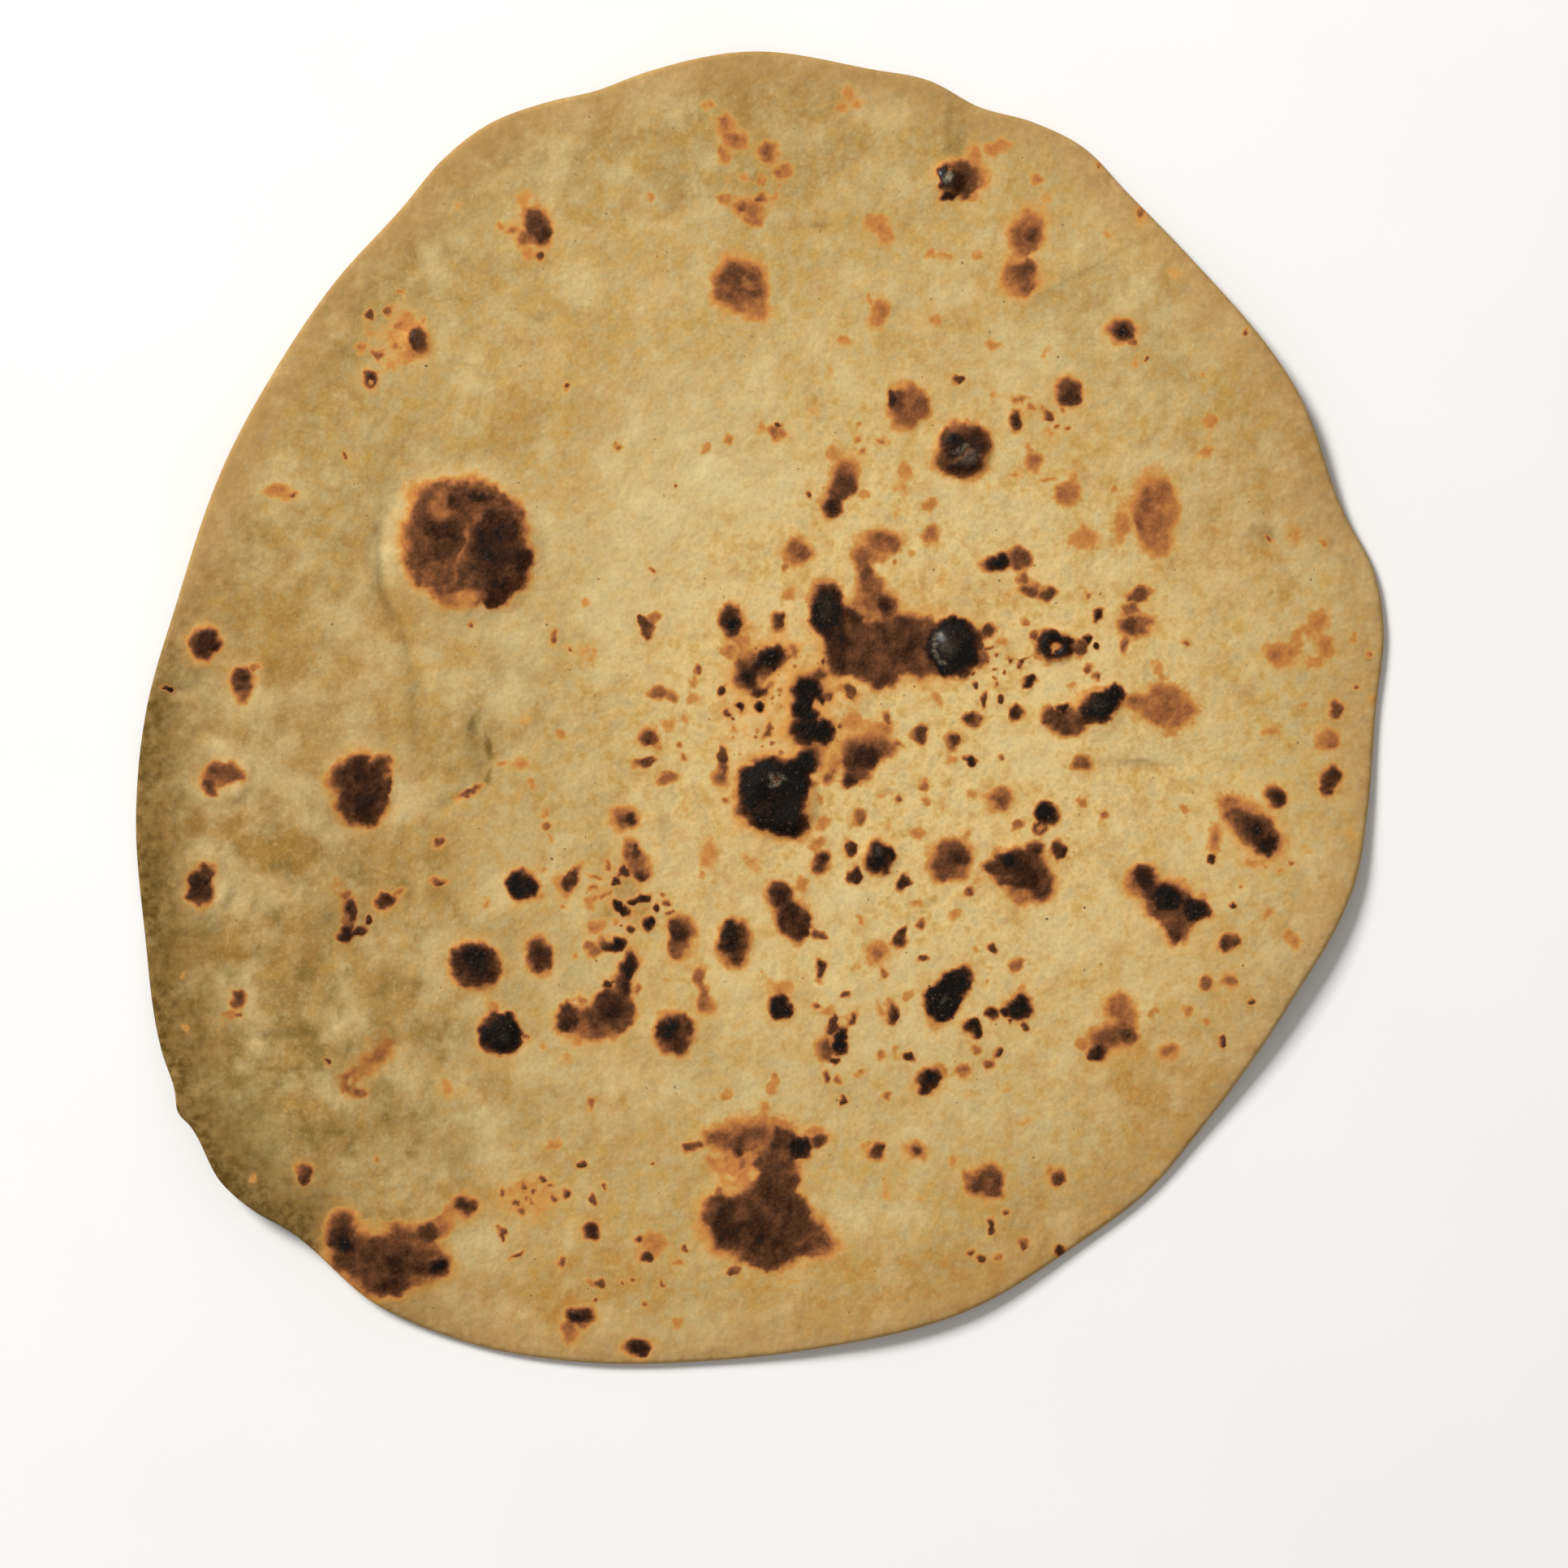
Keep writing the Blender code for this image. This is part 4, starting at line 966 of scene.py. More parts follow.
    def halo(self, x: Array, y: Array) -> Array:
        """Find the golden glow round the darkest marks.

        Args:
            x: Places across, shifted by leaned.
            y: Places along, shifted by leaned.

        Returns:
            A share from 0 to 1 for each place.
        """
        total = np.zeros_like(x)
        for mark in self.marks:
            if mark.strength < self.glow_from:
                continue
            share = float(np.clip(mark.small_half() / self.glow_width, self.glow_least, 1.0))
            reach = self.glow_width * share
            near = mark.near(x, y, reach)
            glow = self.glow_gain * (1.0 + mark.inward(x[near], y[near]) / reach)
            total[near] = np.maximum(total[near], np.clip(glow, 0.0, 1.0))
        return total * np.maximum(strongest(self.glows, self.glow_fade, x, y), self.glow_everywhere)

    def spatter(self, x: Array, y: Array) -> Array:
        """Return how much each place is spattered with small golden and brown specks."""
        return overlaid(np.zeros_like(x), faded(self.glows, self.spatter_fade, x, y))

    def ash(self, x: Array, y: Array) -> Array:
        """Return how much pale ash, dried dough and painted glint lies on each place."""
        return strongest(self.ashes, self.ash_fade, x, y)

    def shine(self, x: Array, y: Array) -> Array:
        """Return how glazed each place is, from 0 to 1."""
        return strongest(self.shines, self.shine_fade, x, y)


@dataclass(frozen=True)
class DoughTone:
    """The dough's tones: patches, painted light in the middle, the browned rim, painted shade at left.

    The rim is fairer round one bearing, and carries a painted dark olive shade round another, given
    with its spread. The wander makes both bands uneven. Painted shade darkens the hollows between
    the lumps of the rough corner.
    """

    outline: Outline
    patch_reach: float = 1.35
    patch_power: float = 1.5
    # Painted light: its middle in photo pixels, and the distances where it begins to fade and is gone
    bright_middle: Pair = (1130.0, 900.0)
    bright_reach: Pair = (18.0 * MM, 74.0 * MM)
    rim_band: float = 8.0 * MM
    rim_power: float = 1.3
    fair_bearing: float = -35.0
    fair_share: float = 0.42
    # Painted shade on the rim: its bearing and spread
    deep_bearings: Pair = (205.0, 44.0)
    deep_fade: Pair = (0.45, 1.0)
    deep_band: float = 12.0 * MM
    # Painted shade over the left side: where it starts, where it is full, and how dark it gets
    painted_shade_from: float = -15.0 * MM
    painted_shade_to: float = -80.0 * MM
    painted_shade_strength: float = 0.36
    wander: float = 2.4 * MM
    rim_wander: Pair = (11.0 * MM, 5.0)
    deep_wander: Pair = (5.5 * MM, 9.0)
    rough_corner: Pair = (-68.0 * MM, -48.0 * MM)
    rough_reach: float = 44.0 * MM
    rough_fade: Pair = (0.35, 1.0)
    lumps: Pair = (3.6 * MM, 31.0)
    small_lumps: Pair = (1.8 * MM, 32.0)
    # Painted shade of the hollows: how fast it grows in a hollow, and how dark it gets
    hollow_shade_gain: float = 3.2
    hollow_shade_strength: float = 0.78

    def hill(self, patch: Patch, x: Array, y: Array) -> Array:
        """Return the strength of one patch at each place, greatest in its middle."""
        reach = patch.reach(x, y) / self.patch_reach
        return patch.strength * np.clip(1.0 - reach ** 2, 0.0, None) ** self.patch_power

    def patches(self, tint: Tint, x: Array, y: Array) -> Array:
        """Return the strength of one tint at each place."""
        hills = (self.hill(patch, x, y) for patch in patches_of(TONES[tint]))
        return overlaid(np.zeros_like(x), hills)

    def bright(self, x: Array, y: Array) -> Array:
        """Return the strength of the painted pool of light, which falls away from its middle."""
        middle_x, middle_y = RULER.place(*self.bright_middle)
        return 1.0 - smooth_step(*self.bright_reach, np.hypot(x - middle_x, y - middle_y))

    def edge_band(self, width: float, wander: Pair, x: Array, y: Array) -> Array:
        """Return the strength of a band of uneven width along the edge, 1 on the edge itself."""
        depth = self.outline.depth(x, y) + self.wander * noise_at(x, y, *wander)
        return np.clip(1.0 - depth / width, 0.0, 1.0)

    def rim(self, x: Array, y: Array) -> Array:
        """Return how browned the rim is, which is fairer on one side."""
        fair = np.clip(np.cos(np.arctan2(y, x) - np.radians(self.fair_bearing)), 0.0, 1.0)
        band = self.edge_band(self.rim_band, self.rim_wander, x, y) ** self.rim_power
        return (1.0 - self.fair_share * fair) * band

    def deep(self, x: Array, y: Array) -> Array:
        """Find the strength of the painted dark olive shade on the edge, which only one side of the rim has.

        Args:
            x: Places across.
            y: Places along.

        Returns:
            A share from 0 to 1 for each place.
        """
        bearing, spread = self.deep_bearings
        turned = np.mod(np.degrees(np.arctan2(y, x)) - bearing + 180.0, 360.0) - 180.0
        side = 1.0 - smooth_step(*self.deep_fade, np.abs(turned) / spread)
        return side * self.edge_band(self.deep_band, self.deep_wander, x, y)

    def painted_hollow_shade(self, x: Array, y: Array) -> Array:
        """Find the painted shade in the hollows between the lumps of the rough corner.

        Args:
            x: Places across.
            y: Places along.

        Returns:
            A share from 0 to 1 for each place.
        """
        corner_x, corner_y = self.rough_corner
        away = np.hypot(x - corner_x, y - corner_y) / self.rough_reach
        rough = 1.0 - smooth_step(*self.rough_fade, away)
        lumps = noise_at(x, y, *self.lumps) + 0.5 * noise_at(x, y, *self.small_lumps)
        return self.hollow_shade_strength * rough * np.clip(-self.hollow_shade_gain * lumps, 0.0, 1.0)

    def layers(self, x: Array, y: Array) -> dict[Layer, Array]:
        """Find every tone layer.

        Args:
            x: Places across.
            y: Places along.

        Returns:
            For each tone layer, a share from 0 to 1 for each place.
        """
        # Painted shade: the dough is darkened towards the left side, and this is carried in the olive layer
        share = (self.painted_shade_from - x) / (self.painted_shade_from - self.painted_shade_to)
        painted_shade = self.painted_shade_strength * smooth_step(0.0, 1.0, share)
        olive = self.patches(Tint.OLIVE, x, y)
        return {
            # Painted pool of light round the middle
            Layer.BRIGHT: self.bright(x, y),
            Layer.TOAST: self.patches(Tint.TOAST, x, y),
            # Olive tone with painted shade of the hollows and of the left side laid over it
            Layer.OLIVE: overlaid(olive, (self.painted_hollow_shade(x, y), painted_shade)),
            Layer.PALE: self.patches(Tint.PALE, x, y),
            Layer.RIM: self.rim(x, y),
            # Painted shade of one side of the rim and of the folds
            Layer.DEEP: np.maximum(self.deep(x, y), self.patches(Tint.FOLD, x, y)),
        }


class NodeGraph:
    """A node tree with short calls for adding and joining its nodes."""

    def __init__(self, tree: bpy.types.NodeTree) -> None:
        """Start from an empty tree."""
        self.tree = tree
        tree.nodes.clear()

    def add(self, kind: str, values: dict[int | str, object] | None = None,
            **settings: object) -> bpy.types.Node:
        """Add a node.

        Args:
            kind: The node's Blender type.
            values: Numbers or other nodes' sockets for its inputs, by name or number.
            settings: The node's own settings.

        Returns:
            The new node.
        """
        node = self.tree.nodes.new(kind)
        for name, setting in settings.items():
            setattr(node, name, setting)
        for key, value in (values or {}).items():
            if isinstance(value, Socket):
                self.tree.links.new(value, node.inputs[key])
            else:
                node.inputs[key].default_value = value
        return node

    def math(self, operation: str, *terms: object, clamp: bool = False) -> Socket:
        """Return the result of a sum on numbers or sockets."""
        values = dict(enumerate(terms))
        return self.add("ShaderNodeMath", values, operation=operation, use_clamp=clamp).outputs[0]

    def times(self, first: object, second: object, clamp: bool = False) -> Socket:
        """Return the product of two numbers or sockets."""
        return self.math("MULTIPLY", first, second, clamp=clamp)

    def plus(self, first: object, second: object, clamp: bool = False) -> Socket:
        """Return the sum of two numbers or sockets."""
        return self.math("ADD", first, second, clamp=clamp)

    def blend(self, share: object, first: object, second: object) -> Socket:
        """Return the colour between two others."""
        values = {0: share, 6: first, 7: second}
        return self.add("ShaderNodeMix", values, data_type="RGBA").outputs[2]

    def scaled(self, vector: object, factor: object) -> Socket:
        """Return a colour or a vector made larger or smaller by a factor."""
        values = {0: vector, "Scale": factor}
        return self.add("ShaderNodeVectorMath", values, operation="SCALE").outputs[0]

    def place(self) -> Socket:
        """Return the place on the piece, inside a material."""
        return self.add("ShaderNodeTexCoord").outputs["Object"]

    def number(self, layer: Layer) -> Socket:
        """Return a number that the points of the skin carry, inside a material."""
        return self.add("ShaderNodeAttribute", attribute_name=layer.value).outputs["Fac"]

    def clouds(self, kind: Noise) -> Socket:
        """Return noise of 0 to 1, inside a material."""
        size, detail, slice_at = kind
        return self.add("ShaderNodeTexNoise", {
            "Vector": self.place(), "W": slice_at, "Scale": 1.0 / size, "Detail": detail,
            "Roughness": CLOUD_ROUGHNESS,
        }, noise_dimensions="4D").outputs[0]

    def span(self, value: object, low: float, high: float, to_low: float = 0.0,
             to_high: float = 1.0) -> Socket:
        """Return a value stretched from one range to another, and held inside it."""
        values = {0: value, 1: low, 2: high, 3: to_low, 4: to_high}
        return self.add("ShaderNodeMapRange", values, clamp=True).outputs[0]

    def ramp(self, share: object, stops: Iterable[tuple[float, Colour]]) -> Socket:
        """Make a colour ramp.

        Args:
            share: The number that the colour is read at.
            stops: The place and the colour of each stop, in order.

        Returns:
            The socket with the colour.
        """
        node = self.add("ShaderNodeValToRGB", {0: share})
        elements = node.color_ramp.elements
        for number, (place, colour) in enumerate(stops):
            stop = elements[number] if number < 2 else elements.new(place)
            stop.position = place
            stop.color = colour
        return node.outputs["Color"]

    def close(self, kind: str, output: str, values: dict[int | str, object]) -> None:
        """End the tree in a shader of a kind with the given inputs, and an output node."""
        shader = self.add(kind, values)
        self.add(output, {"Surface": shader.outputs[0]})

    def surface(self, values: dict[int | str, object]) -> None:
        """End a material's tree in a surface with the given inputs."""
        self.close("ShaderNodeBsdfPrincipled", "ShaderNodeOutputMaterial", values)


def new_material(name: str) -> tuple[bpy.types.Material, NodeGraph]:
    """Return a new material and its empty tree."""
    material = bpy.data.materials.new(name)
    material.use_nodes = True
    return material, NodeGraph(material.node_tree)


@dataclass(frozen=True)
class CrustFinish:
    """Dry, matte, floury dough with browned, chestnut and charred marks.

    A wash is a colour and the span of a noise that lays it on. The scorch is the colour at each
    share of browning. The reliefs are the noises of grain, pores and pits with their heights.
    """

    plain: Colour = shade(183, 152, 93)
    # Colour of the painted pool of light in the middle of the dough
    bright: Colour = shade(216, 186, 124)
    toast: Colour = shade(178, 126, 58)
    # The olive tone, which also paints the shade that the olive layer carries
    olive: Colour = shade(128, 101, 47)
    pale: Colour = shade(203, 182, 129)
    rim: Colour = shade(168, 130, 78)
    # Colour of the painted shade along one side of the rim and in the folds
    deep: Colour = shade(92, 68, 24)
    glow: Colour = shade(208, 142, 66)
    # Colour of the pale ash and of the painted glints on the char
    ash: Colour = shade(158, 148, 120)
    scorch: tuple[tuple[float, Colour], ...] = (
        (0.0, shade(202, 158, 86)), (0.10, shade(199, 148, 76)), (0.20, shade(193, 136, 68)),
        (0.32, shade(182, 117, 59)), (0.42, shade(157, 98, 54)), (0.52, shade(133, 80, 45)),
        (0.60, shade(109, 66, 38)), (0.71, shade(83, 50, 28)), (0.84, shade(55, 29, 13)),
        (1.0, shade(17, 13, 9)),
    )
    tinge_washes: tuple[tuple[Colour, Span], ...] = (
        (shade(190, 146, 70), (0.50, 0.64, 0.0, 0.70)),
        (shade(184, 165, 116), (0.50, 0.36, 0.0, 0.62)),
    )
    grain_washes: tuple[tuple[Colour, Span], ...] = (
        (shade(140, 106, 56), (0.52, 0.74, 0.0, 0.26)),
        (shade(222, 203, 154), (0.48, 0.28, 0.0, 0.18)),
    )
    grain: Noise = (0.45 * MM, 3.0, 1.0)
    flecks: Noise = (1.2 * MM, 3.0, 2.0)
    mottle: Noise = (2.8 * MM, 4.0, 3.0)
    blotch: Noise = (6.5 * MM, 4.0, 4.0)
    tinge: Noise = (1.68 * MM, 5.0, 13.0)
    ragged: Noise = (0.6 * MM, 4.0, 5.0)
    mottled: Noise = (2.2 * MM, 4.0, 6.0)
    golden: Noise = (1.2 * MM, 3.0, 11.0)
    # Noise that breaks up the ash and the painted glints
    ash_and_glint_speckle: Noise = (0.45 * MM, 3.0, 12.0)
    reliefs: tuple[tuple[Noise, float], ...] = (
        ((0.45 * MM, 2.0, 7.0), 0.012), ((1.2 * MM, 2.0, 14.0), 0.09), ((2.8 * MM, 2.0, 8.0), 0.60),
    )
    flakes: Noise = (0.44 * MM, 3.0, 9.0)
    patch_uneven: Span = (0.32, 0.68, 0.4, 1.3)
    toast_strewn: Span = (0.50, 0.70, 0.0, 0.55)
    olive_strewn: Span = (0.52, 0.72, 0.0, 0.30)
    pale_strewn: Span = (0.48, 0.64, 0.0, 0.45)
    rim_broken: Span = (0.34, 0.64, 1.15, 0.60)
    fleck_light: Span = (0.25, 0.75, 0.42, 0.58)
    blotch_light: Span = (0.3, 0.7, 0.46, 0.56)
    ragged_outside: Span = (-0.50, 0.20, 0.0, 1.0)
    ragged_inside: Span = (0.0, 0.24, 1.0, 0.30)
    mottled_pale: Span = (0.05, 0.60, 0.1, 0.75)
    mottled_dark: Span = (0.84, 1.0, 1.0, 0.35)
    drop_cell: float = 1.1 * MM
    drop_shift: float = 0.6
    drop_sizes: Span = (0.05, 0.9, 0.0, 0.42)
    drop_levels: Span = (0.3, 1.0, 0.16, 0.62)
    drop_edge: Span = (-0.10, 0.14)
    golden_strewn: Span = (0.50, 0.68, 0.0, 0.85)
    golden_least: float = 0.30
    # Painted shade on the glow and the marks: how far they are darkened where the olive layer is strong
    painted_shade_dimming: Span = (0.45, 0.95, 1.0, 0.62)
    burnt_share: Span = (0.0, 0.22)
    ash_and_glint_speckle_share: Span = (0.3, 0.6)
    glaze_share: Span = (0.5, 0.9)
    flake_height: Span = (0.4, 0.9, 0.0, 0.5)
    bump_depth: float = 0.60 * MM
    roughness: Span = (0.4, 1.0, 0.80, 0.52)
    specular: float = 0.07
    glaze_roughness: float = 0.30

    def dough_colour(self, graph: NodeGraph) -> Socket:
        """Build the colour of the dough between the marks.

        Args:
            graph: The material's nodes.

        Returns:
            The socket with the colour.
        """
        noises = (self.grain, self.flecks, self.mottle, self.blotch)
        grain, flecks, mottle, blotch = (graph.clouds(kind) for kind in noises)
        uneven = graph.span(mottle, *self.patch_uneven)
        # Painted light: the dough turns lighter towards the middle
        colour = graph.blend(graph.number(Layer.BRIGHT), self.plain, self.bright)
        tinge = graph.clouds(self.tinge)
        for tint, span in self.tinge_washes:
            colour = graph.blend(graph.span(tinge, *span), colour, tint)
        for layer, tint, strewn, span in (
            (Layer.TOAST, self.toast, mottle, self.toast_strewn),
            # Olive tone and painted shade
            (Layer.OLIVE, self.olive, flecks, self.olive_strewn),
            (Layer.PALE, self.pale, blotch, self.pale_strewn),
        ):
            share = graph.times(graph.number(layer), uneven)
            share = graph.plus(share, graph.span(strewn, *span), clamp=True)
            colour = graph.blend(share, colour, tint)
        for tint, span in self.grain_washes:
            colour = graph.blend(graph.span(grain, *span), colour, tint)
        broken = graph.span(flecks, *self.rim_broken)
        # The rim's own browning, then the painted dark shade of one side of the rim and of the folds
        for layer, tint in ((Layer.RIM, self.rim), (Layer.DEEP, self.deep)):
            share = graph.times(graph.number(layer), broken, clamp=True)
            colour = graph.blend(share, colour, tint)
        light = graph.plus(graph.span(flecks, *self.fleck_light),
                           graph.span(blotch, *self.blotch_light))
        return graph.scaled(colour, light)

    def browned(self, graph: NodeGraph) -> Socket:
        """Build the browning with ragged edges and mottled middles.

        Args:
            graph: The material's nodes.

        Returns:
            The socket with the browning from 0 to 1.
        """
        raw = graph.number(Layer.SCORCH)
        changes = []
        for kind, spans in (
            (self.ragged, (self.ragged_outside, self.ragged_inside)),
            (self.mottled, (self.mottled_pale, self.mottled_dark)),
        ):
            change = graph.math("SUBTRACT", graph.clouds(kind), 0.5)
            for span in spans:
                change = graph.times(change, graph.span(raw, *span))
            changes.append(change)
        total = graph.plus(graph.plus(raw, changes[0]), changes[1], clamp=True)
        return graph.math("MAXIMUM", total, self.drops(graph))

    def drops(self, graph: NodeGraph) -> Socket:
        """Build small round drops of browning, of many sizes, where the spatter lies.

        Args:
            graph: The material's nodes.

        Returns:
            The socket with the browning of the drops.
        """
        place, scale = graph.place(), 1.0 / self.drop_cell
        shift = graph.add("ShaderNodeTexNoise", {"Vector": place, "Scale": scale, "Detail": 1.0})
        moved = graph.add("ShaderNodeVectorMath", {
            0: shift.outputs["Color"], 1: (self.drop_shift * self.drop_cell,) * 3, 2: place,
        }, operation="MULTIPLY_ADD").outputs[0]
        cells = graph.add("ShaderNodeTexVoronoi", {"Vector": moved, "Scale": scale})
        parts = graph.add("ShaderNodeSeparateColor", {0: cells.outputs["Color"]})
        size = graph.span(parts.outputs[0], *self.drop_sizes)
        size = graph.times(size, graph.number(Layer.SPATTER))
        inside = graph.math("SUBTRACT", size, cells.outputs["Distance"])
        level = graph.span(parts.outputs[1], *self.drop_levels)
        return graph.times(graph.span(inside, *self.drop_edge), level)

    def bumps(self, graph: NodeGraph, brown: Socket) -> Socket:
        """Build the finest relief: grain, pores, pits and the flakes of the burnt places.

        Args:
            graph: The material's nodes.
            brown: The socket with the browning.

        Returns:
            The socket with the bent normal.
        """
        flaked = graph.span(brown, *self.flake_height)
        height = graph.times(graph.clouds(self.flakes), flaked)
        for kind, share in self.reliefs:
            height = graph.plus(height, graph.times(graph.clouds(kind), share))
        values = {"Height": height, "Distance": self.bump_depth, "Strength": 1.0}
        return graph.add("ShaderNodeBump", values).outputs[0]

    def material(self) -> bpy.types.Material:
        """Build the material: dough, the glow round the marks, the marks, ash with painted glints, and
        glaze.

        Returns:
            The material.
        """
        material, graph = new_material("griddled_crust")
        brown = self.browned(graph)
        colour = self.dough_colour(graph)
        spatter = graph.number(Layer.SPATTER)
        golden = graph.span(graph.clouds(self.golden), *self.golden_strewn)
        golden = graph.math("MAXIMUM", graph.times(golden, spatter),
                            graph.times(spatter, self.golden_least))
        glow = graph.math("MAXIMUM", graph.number(Layer.HALO), golden)
        # Painted shade: the glow and the marks are darkened where the olive layer carries painted shade
        painted_shade_factor = graph.span(graph.number(Layer.OLIVE), *self.painted_shade_dimming)
        colour = graph.blend(graph.times(glow, painted_shade_factor), colour, self.glow)
        burnt = graph.scaled(graph.ramp(brown, self.scorch), painted_shade_factor)
        colour = graph.blend(graph.span(brown, *self.burnt_share), colour, burnt)
        # Pale ash and painted highlights and glints on the char
        ash_and_glint_speckle = graph.span(graph.clouds(self.ash_and_glint_speckle), *self.ash_and_glint_speckle_share)
        colour = graph.blend(graph.times(graph.number(Layer.ASH), ash_and_glint_speckle), colour, self.ash)
        glazed = graph.span(brown, *self.glaze_share)
        graph.surface({
            "Base Color": colour, "Roughness": graph.span(brown, *self.roughness),
            "Normal": self.bumps(graph, brown), "Specular IOR Level": self.specular,
            "Coat Weight": graph.times(graph.number(Layer.SHINE), glazed, clamp=True),
            "Coat Roughness": self.glaze_roughness,
        })
        return material


@dataclass(frozen=True)
class GrainFinish:
    """Small grains, each in its own tone, with patches of another colour on their sides."""

    name: str
    tones: tuple[tuple[float, Colour], ...]
    patch: Colour
    patches: Noise
    patch_share: Span
    roughness: float
    specular: float = 0.5

    def material(self) -> bpy.types.Material:
        """Build the material.

        Returns:
            The material.
        """
        material, graph = new_material(self.name)
        patchy = graph.span(graph.clouds(self.patches), *self.patch_share)
        colour = graph.ramp(graph.number(Layer.FLECK), self.tones)
        graph.surface({
            "Base Color": graph.blend(patchy, colour, self.patch),
            "Roughness": self.roughness, "Specular IOR Level": self.specular,
        })
        return material


BRAN = GrainFinish(
    name="bran_flecks",
    tones=(
        (0.0, shade(84, 62, 34)), (0.12, shade(112, 84, 46)), (0.40, shade(140, 108, 60)),
        (1.0, shade(160, 128, 74)),
    ),
    patch=shade(150, 116, 66), patches=(0.2 * MM, 2.0, 0.0), patch_share=(0.3, 0.7, 0.0, 0.35),
    roughness=0.75,
)
CRUMBS = GrainFinish(
    name="char_crumbs",
    tones=((0.0, shade(24, 24, 23)), (1.0, shade(24, 24, 23))),
    patch=shade(74, 50, 34), patches=(0.7 * MM, 2.0, 0.0), patch_share=(0.35, 0.65),
    roughness=0.8, specular=0.2,
)


@dataclass(frozen=True)
class Lattice:
    """An even triangular lattice of places over the bread, a little off its middle."""

    spacing: float
    reach: float = 102.0 * MM
    shift: Pair = (0.25, 1.0 / 3.0)

    def grid(self) -> tuple[Array, Array]:
        """Lay out the lattice.

        Returns:
            The places across and along as two tables, one row of the lattice to a line.
        """
        row_gap = self.spacing * math.sqrt(3.0) / 2.0
        count = math.ceil(self.reach / row_gap)
        numbers = np.arange(-count, count + 1)
        column, row = np.meshgrid(numbers, numbers)
        x = (column + 0.5 * np.mod(row, 2) + self.shift[0]) * self.spacing
        return x, (row + self.shift[1]) * row_gap


@dataclass(frozen=True)
class SkinPlan:
    """Where the skin needs close points: round the edges of marks, small marks most of all.

    The shoulder is where a blister's side rises, as a share of its radius, and half its width.
    """

    outline: Outline
    form: Form
    marks: tuple[Patch, ...]
    spacings: tuple[float, float, float]
    with_relief: bool = True
    lines: tuple[Patch, ...] = ()
    edge_band: float = 0.75 * MM
    fine_band: float = 0.42 * MM
    small_mark: float = 1.0 * MM
    line_reach: float = 1.4
    shoulder: Pair = (0.8, 0.28)
    rim_room: float = 0.55
    least_rim_room: float = 0.3 * MM

    def wanted(self, x: Array, y: Array, fine: bool) -> Array:
        """Mark the places of a lattice that need close points.

        Args:
            x: Places across, as a table.
            y: Places along, as a table.
            fine: True for the closest points of all.

        Returns:
            A table of true and false.
        """
        wanted = np.zeros(x.shape, dtype=bool)
        across, along = x[0], y[:, 0]
        band = self.fine_band if fine else self.edge_band
        for mark in self.marks:
            if fine and mark.small_half() > self.small_mark:
                continue
            size = mark.large_half() + band + (across[1] - across[0])
            left, right = np.searchsorted(across, (mark.x - size, mark.x + size))
            low, high = np.searchsorted(along, (mark.y - size, mark.y + size))
            block = slice(low, high), slice(left, right)
            wanted[block] |= np.abs(mark.inward(x[block], y[block])) < band
        if fine:
            return wanted
        for line in self.lines:
            wanted |= line.reach(x, y) < self.line_reach
        if self.with_relief:
            place, half = self.shoulder
            for centre_x, centre_y, radius, *_ in self.form.blisters:
                reach = np.hypot(x - centre_x * MM, y - centre_y * MM)
                wanted |= np.abs(reach - place * radius * MM) < half * radius * MM
            for points, half_width, _ in self.form.creases:
                gap, _ = chain_distance(x.ravel(), y.ravel(), points)
                wanted |= (gap < half_width * MM).reshape(x.shape)
        return wanted

    def points(self) -> Array:
        """Place the skin's points, each part of the side on the lattice that it needs.

        Returns:
            Two numbers for each point.
        """
        kept = []
        for level, spacing in enumerate(self.spacings):
            x, y = Lattice(spacing).grid()
            depth = self.outline.depth(x.ravel(), y.ravel()).reshape(x.shape)
            room = max(self.rim_room * spacing, self.least_rim_room)
            inside = depth > self.outline.rounding + room
            fine = self.wanted(x, y, True)
            middling = self.wanted(x, y, False) | fine
            chosen = (~middling, middling & ~fine, fine)[level] & inside
            kept.append(np.column_stack((x[chosen], y[chosen])))
        return np.vstack(kept)


def triangulate(border: Array, inner: Array) -> Array:
    """Join a border and the points inside it into triangles that face up.

    Args:
        border: The points round the outside, in order.
        inner: The points inside.

    Returns:
        Three numbers of points for each triangle, the border's points first.
    """
    places = [Vector(point) for point in np.vstack((border, inner))]
    loop = list(range(len(border)))
    flat, _, faces, sources, _, _ = delaunay_2d_cdt(places, [], [loop], 1, 1e-7)
    origin = np.array([source[0] for source in sources])
    corners = np.array(faces)
    at = np.array(flat)[:, :2]
    first, second = (at[corners[:, end]] - at[corners[:, 0]] for end in (1, 2))
    turned = first[:, 0] * second[:, 1] - first[:, 1] * second[:, 0] < 0.0
    corners[turned] = corners[turned][:, ::-1]
    return origin[corners]


def linked(name: str, data: bpy.types.ID) -> bpy.types.Object:
    """Return a new object in the scene with the given data."""
    item = bpy.data.objects.new(name, data)
    bpy.context.scene.collection.objects.link(item)
    return item


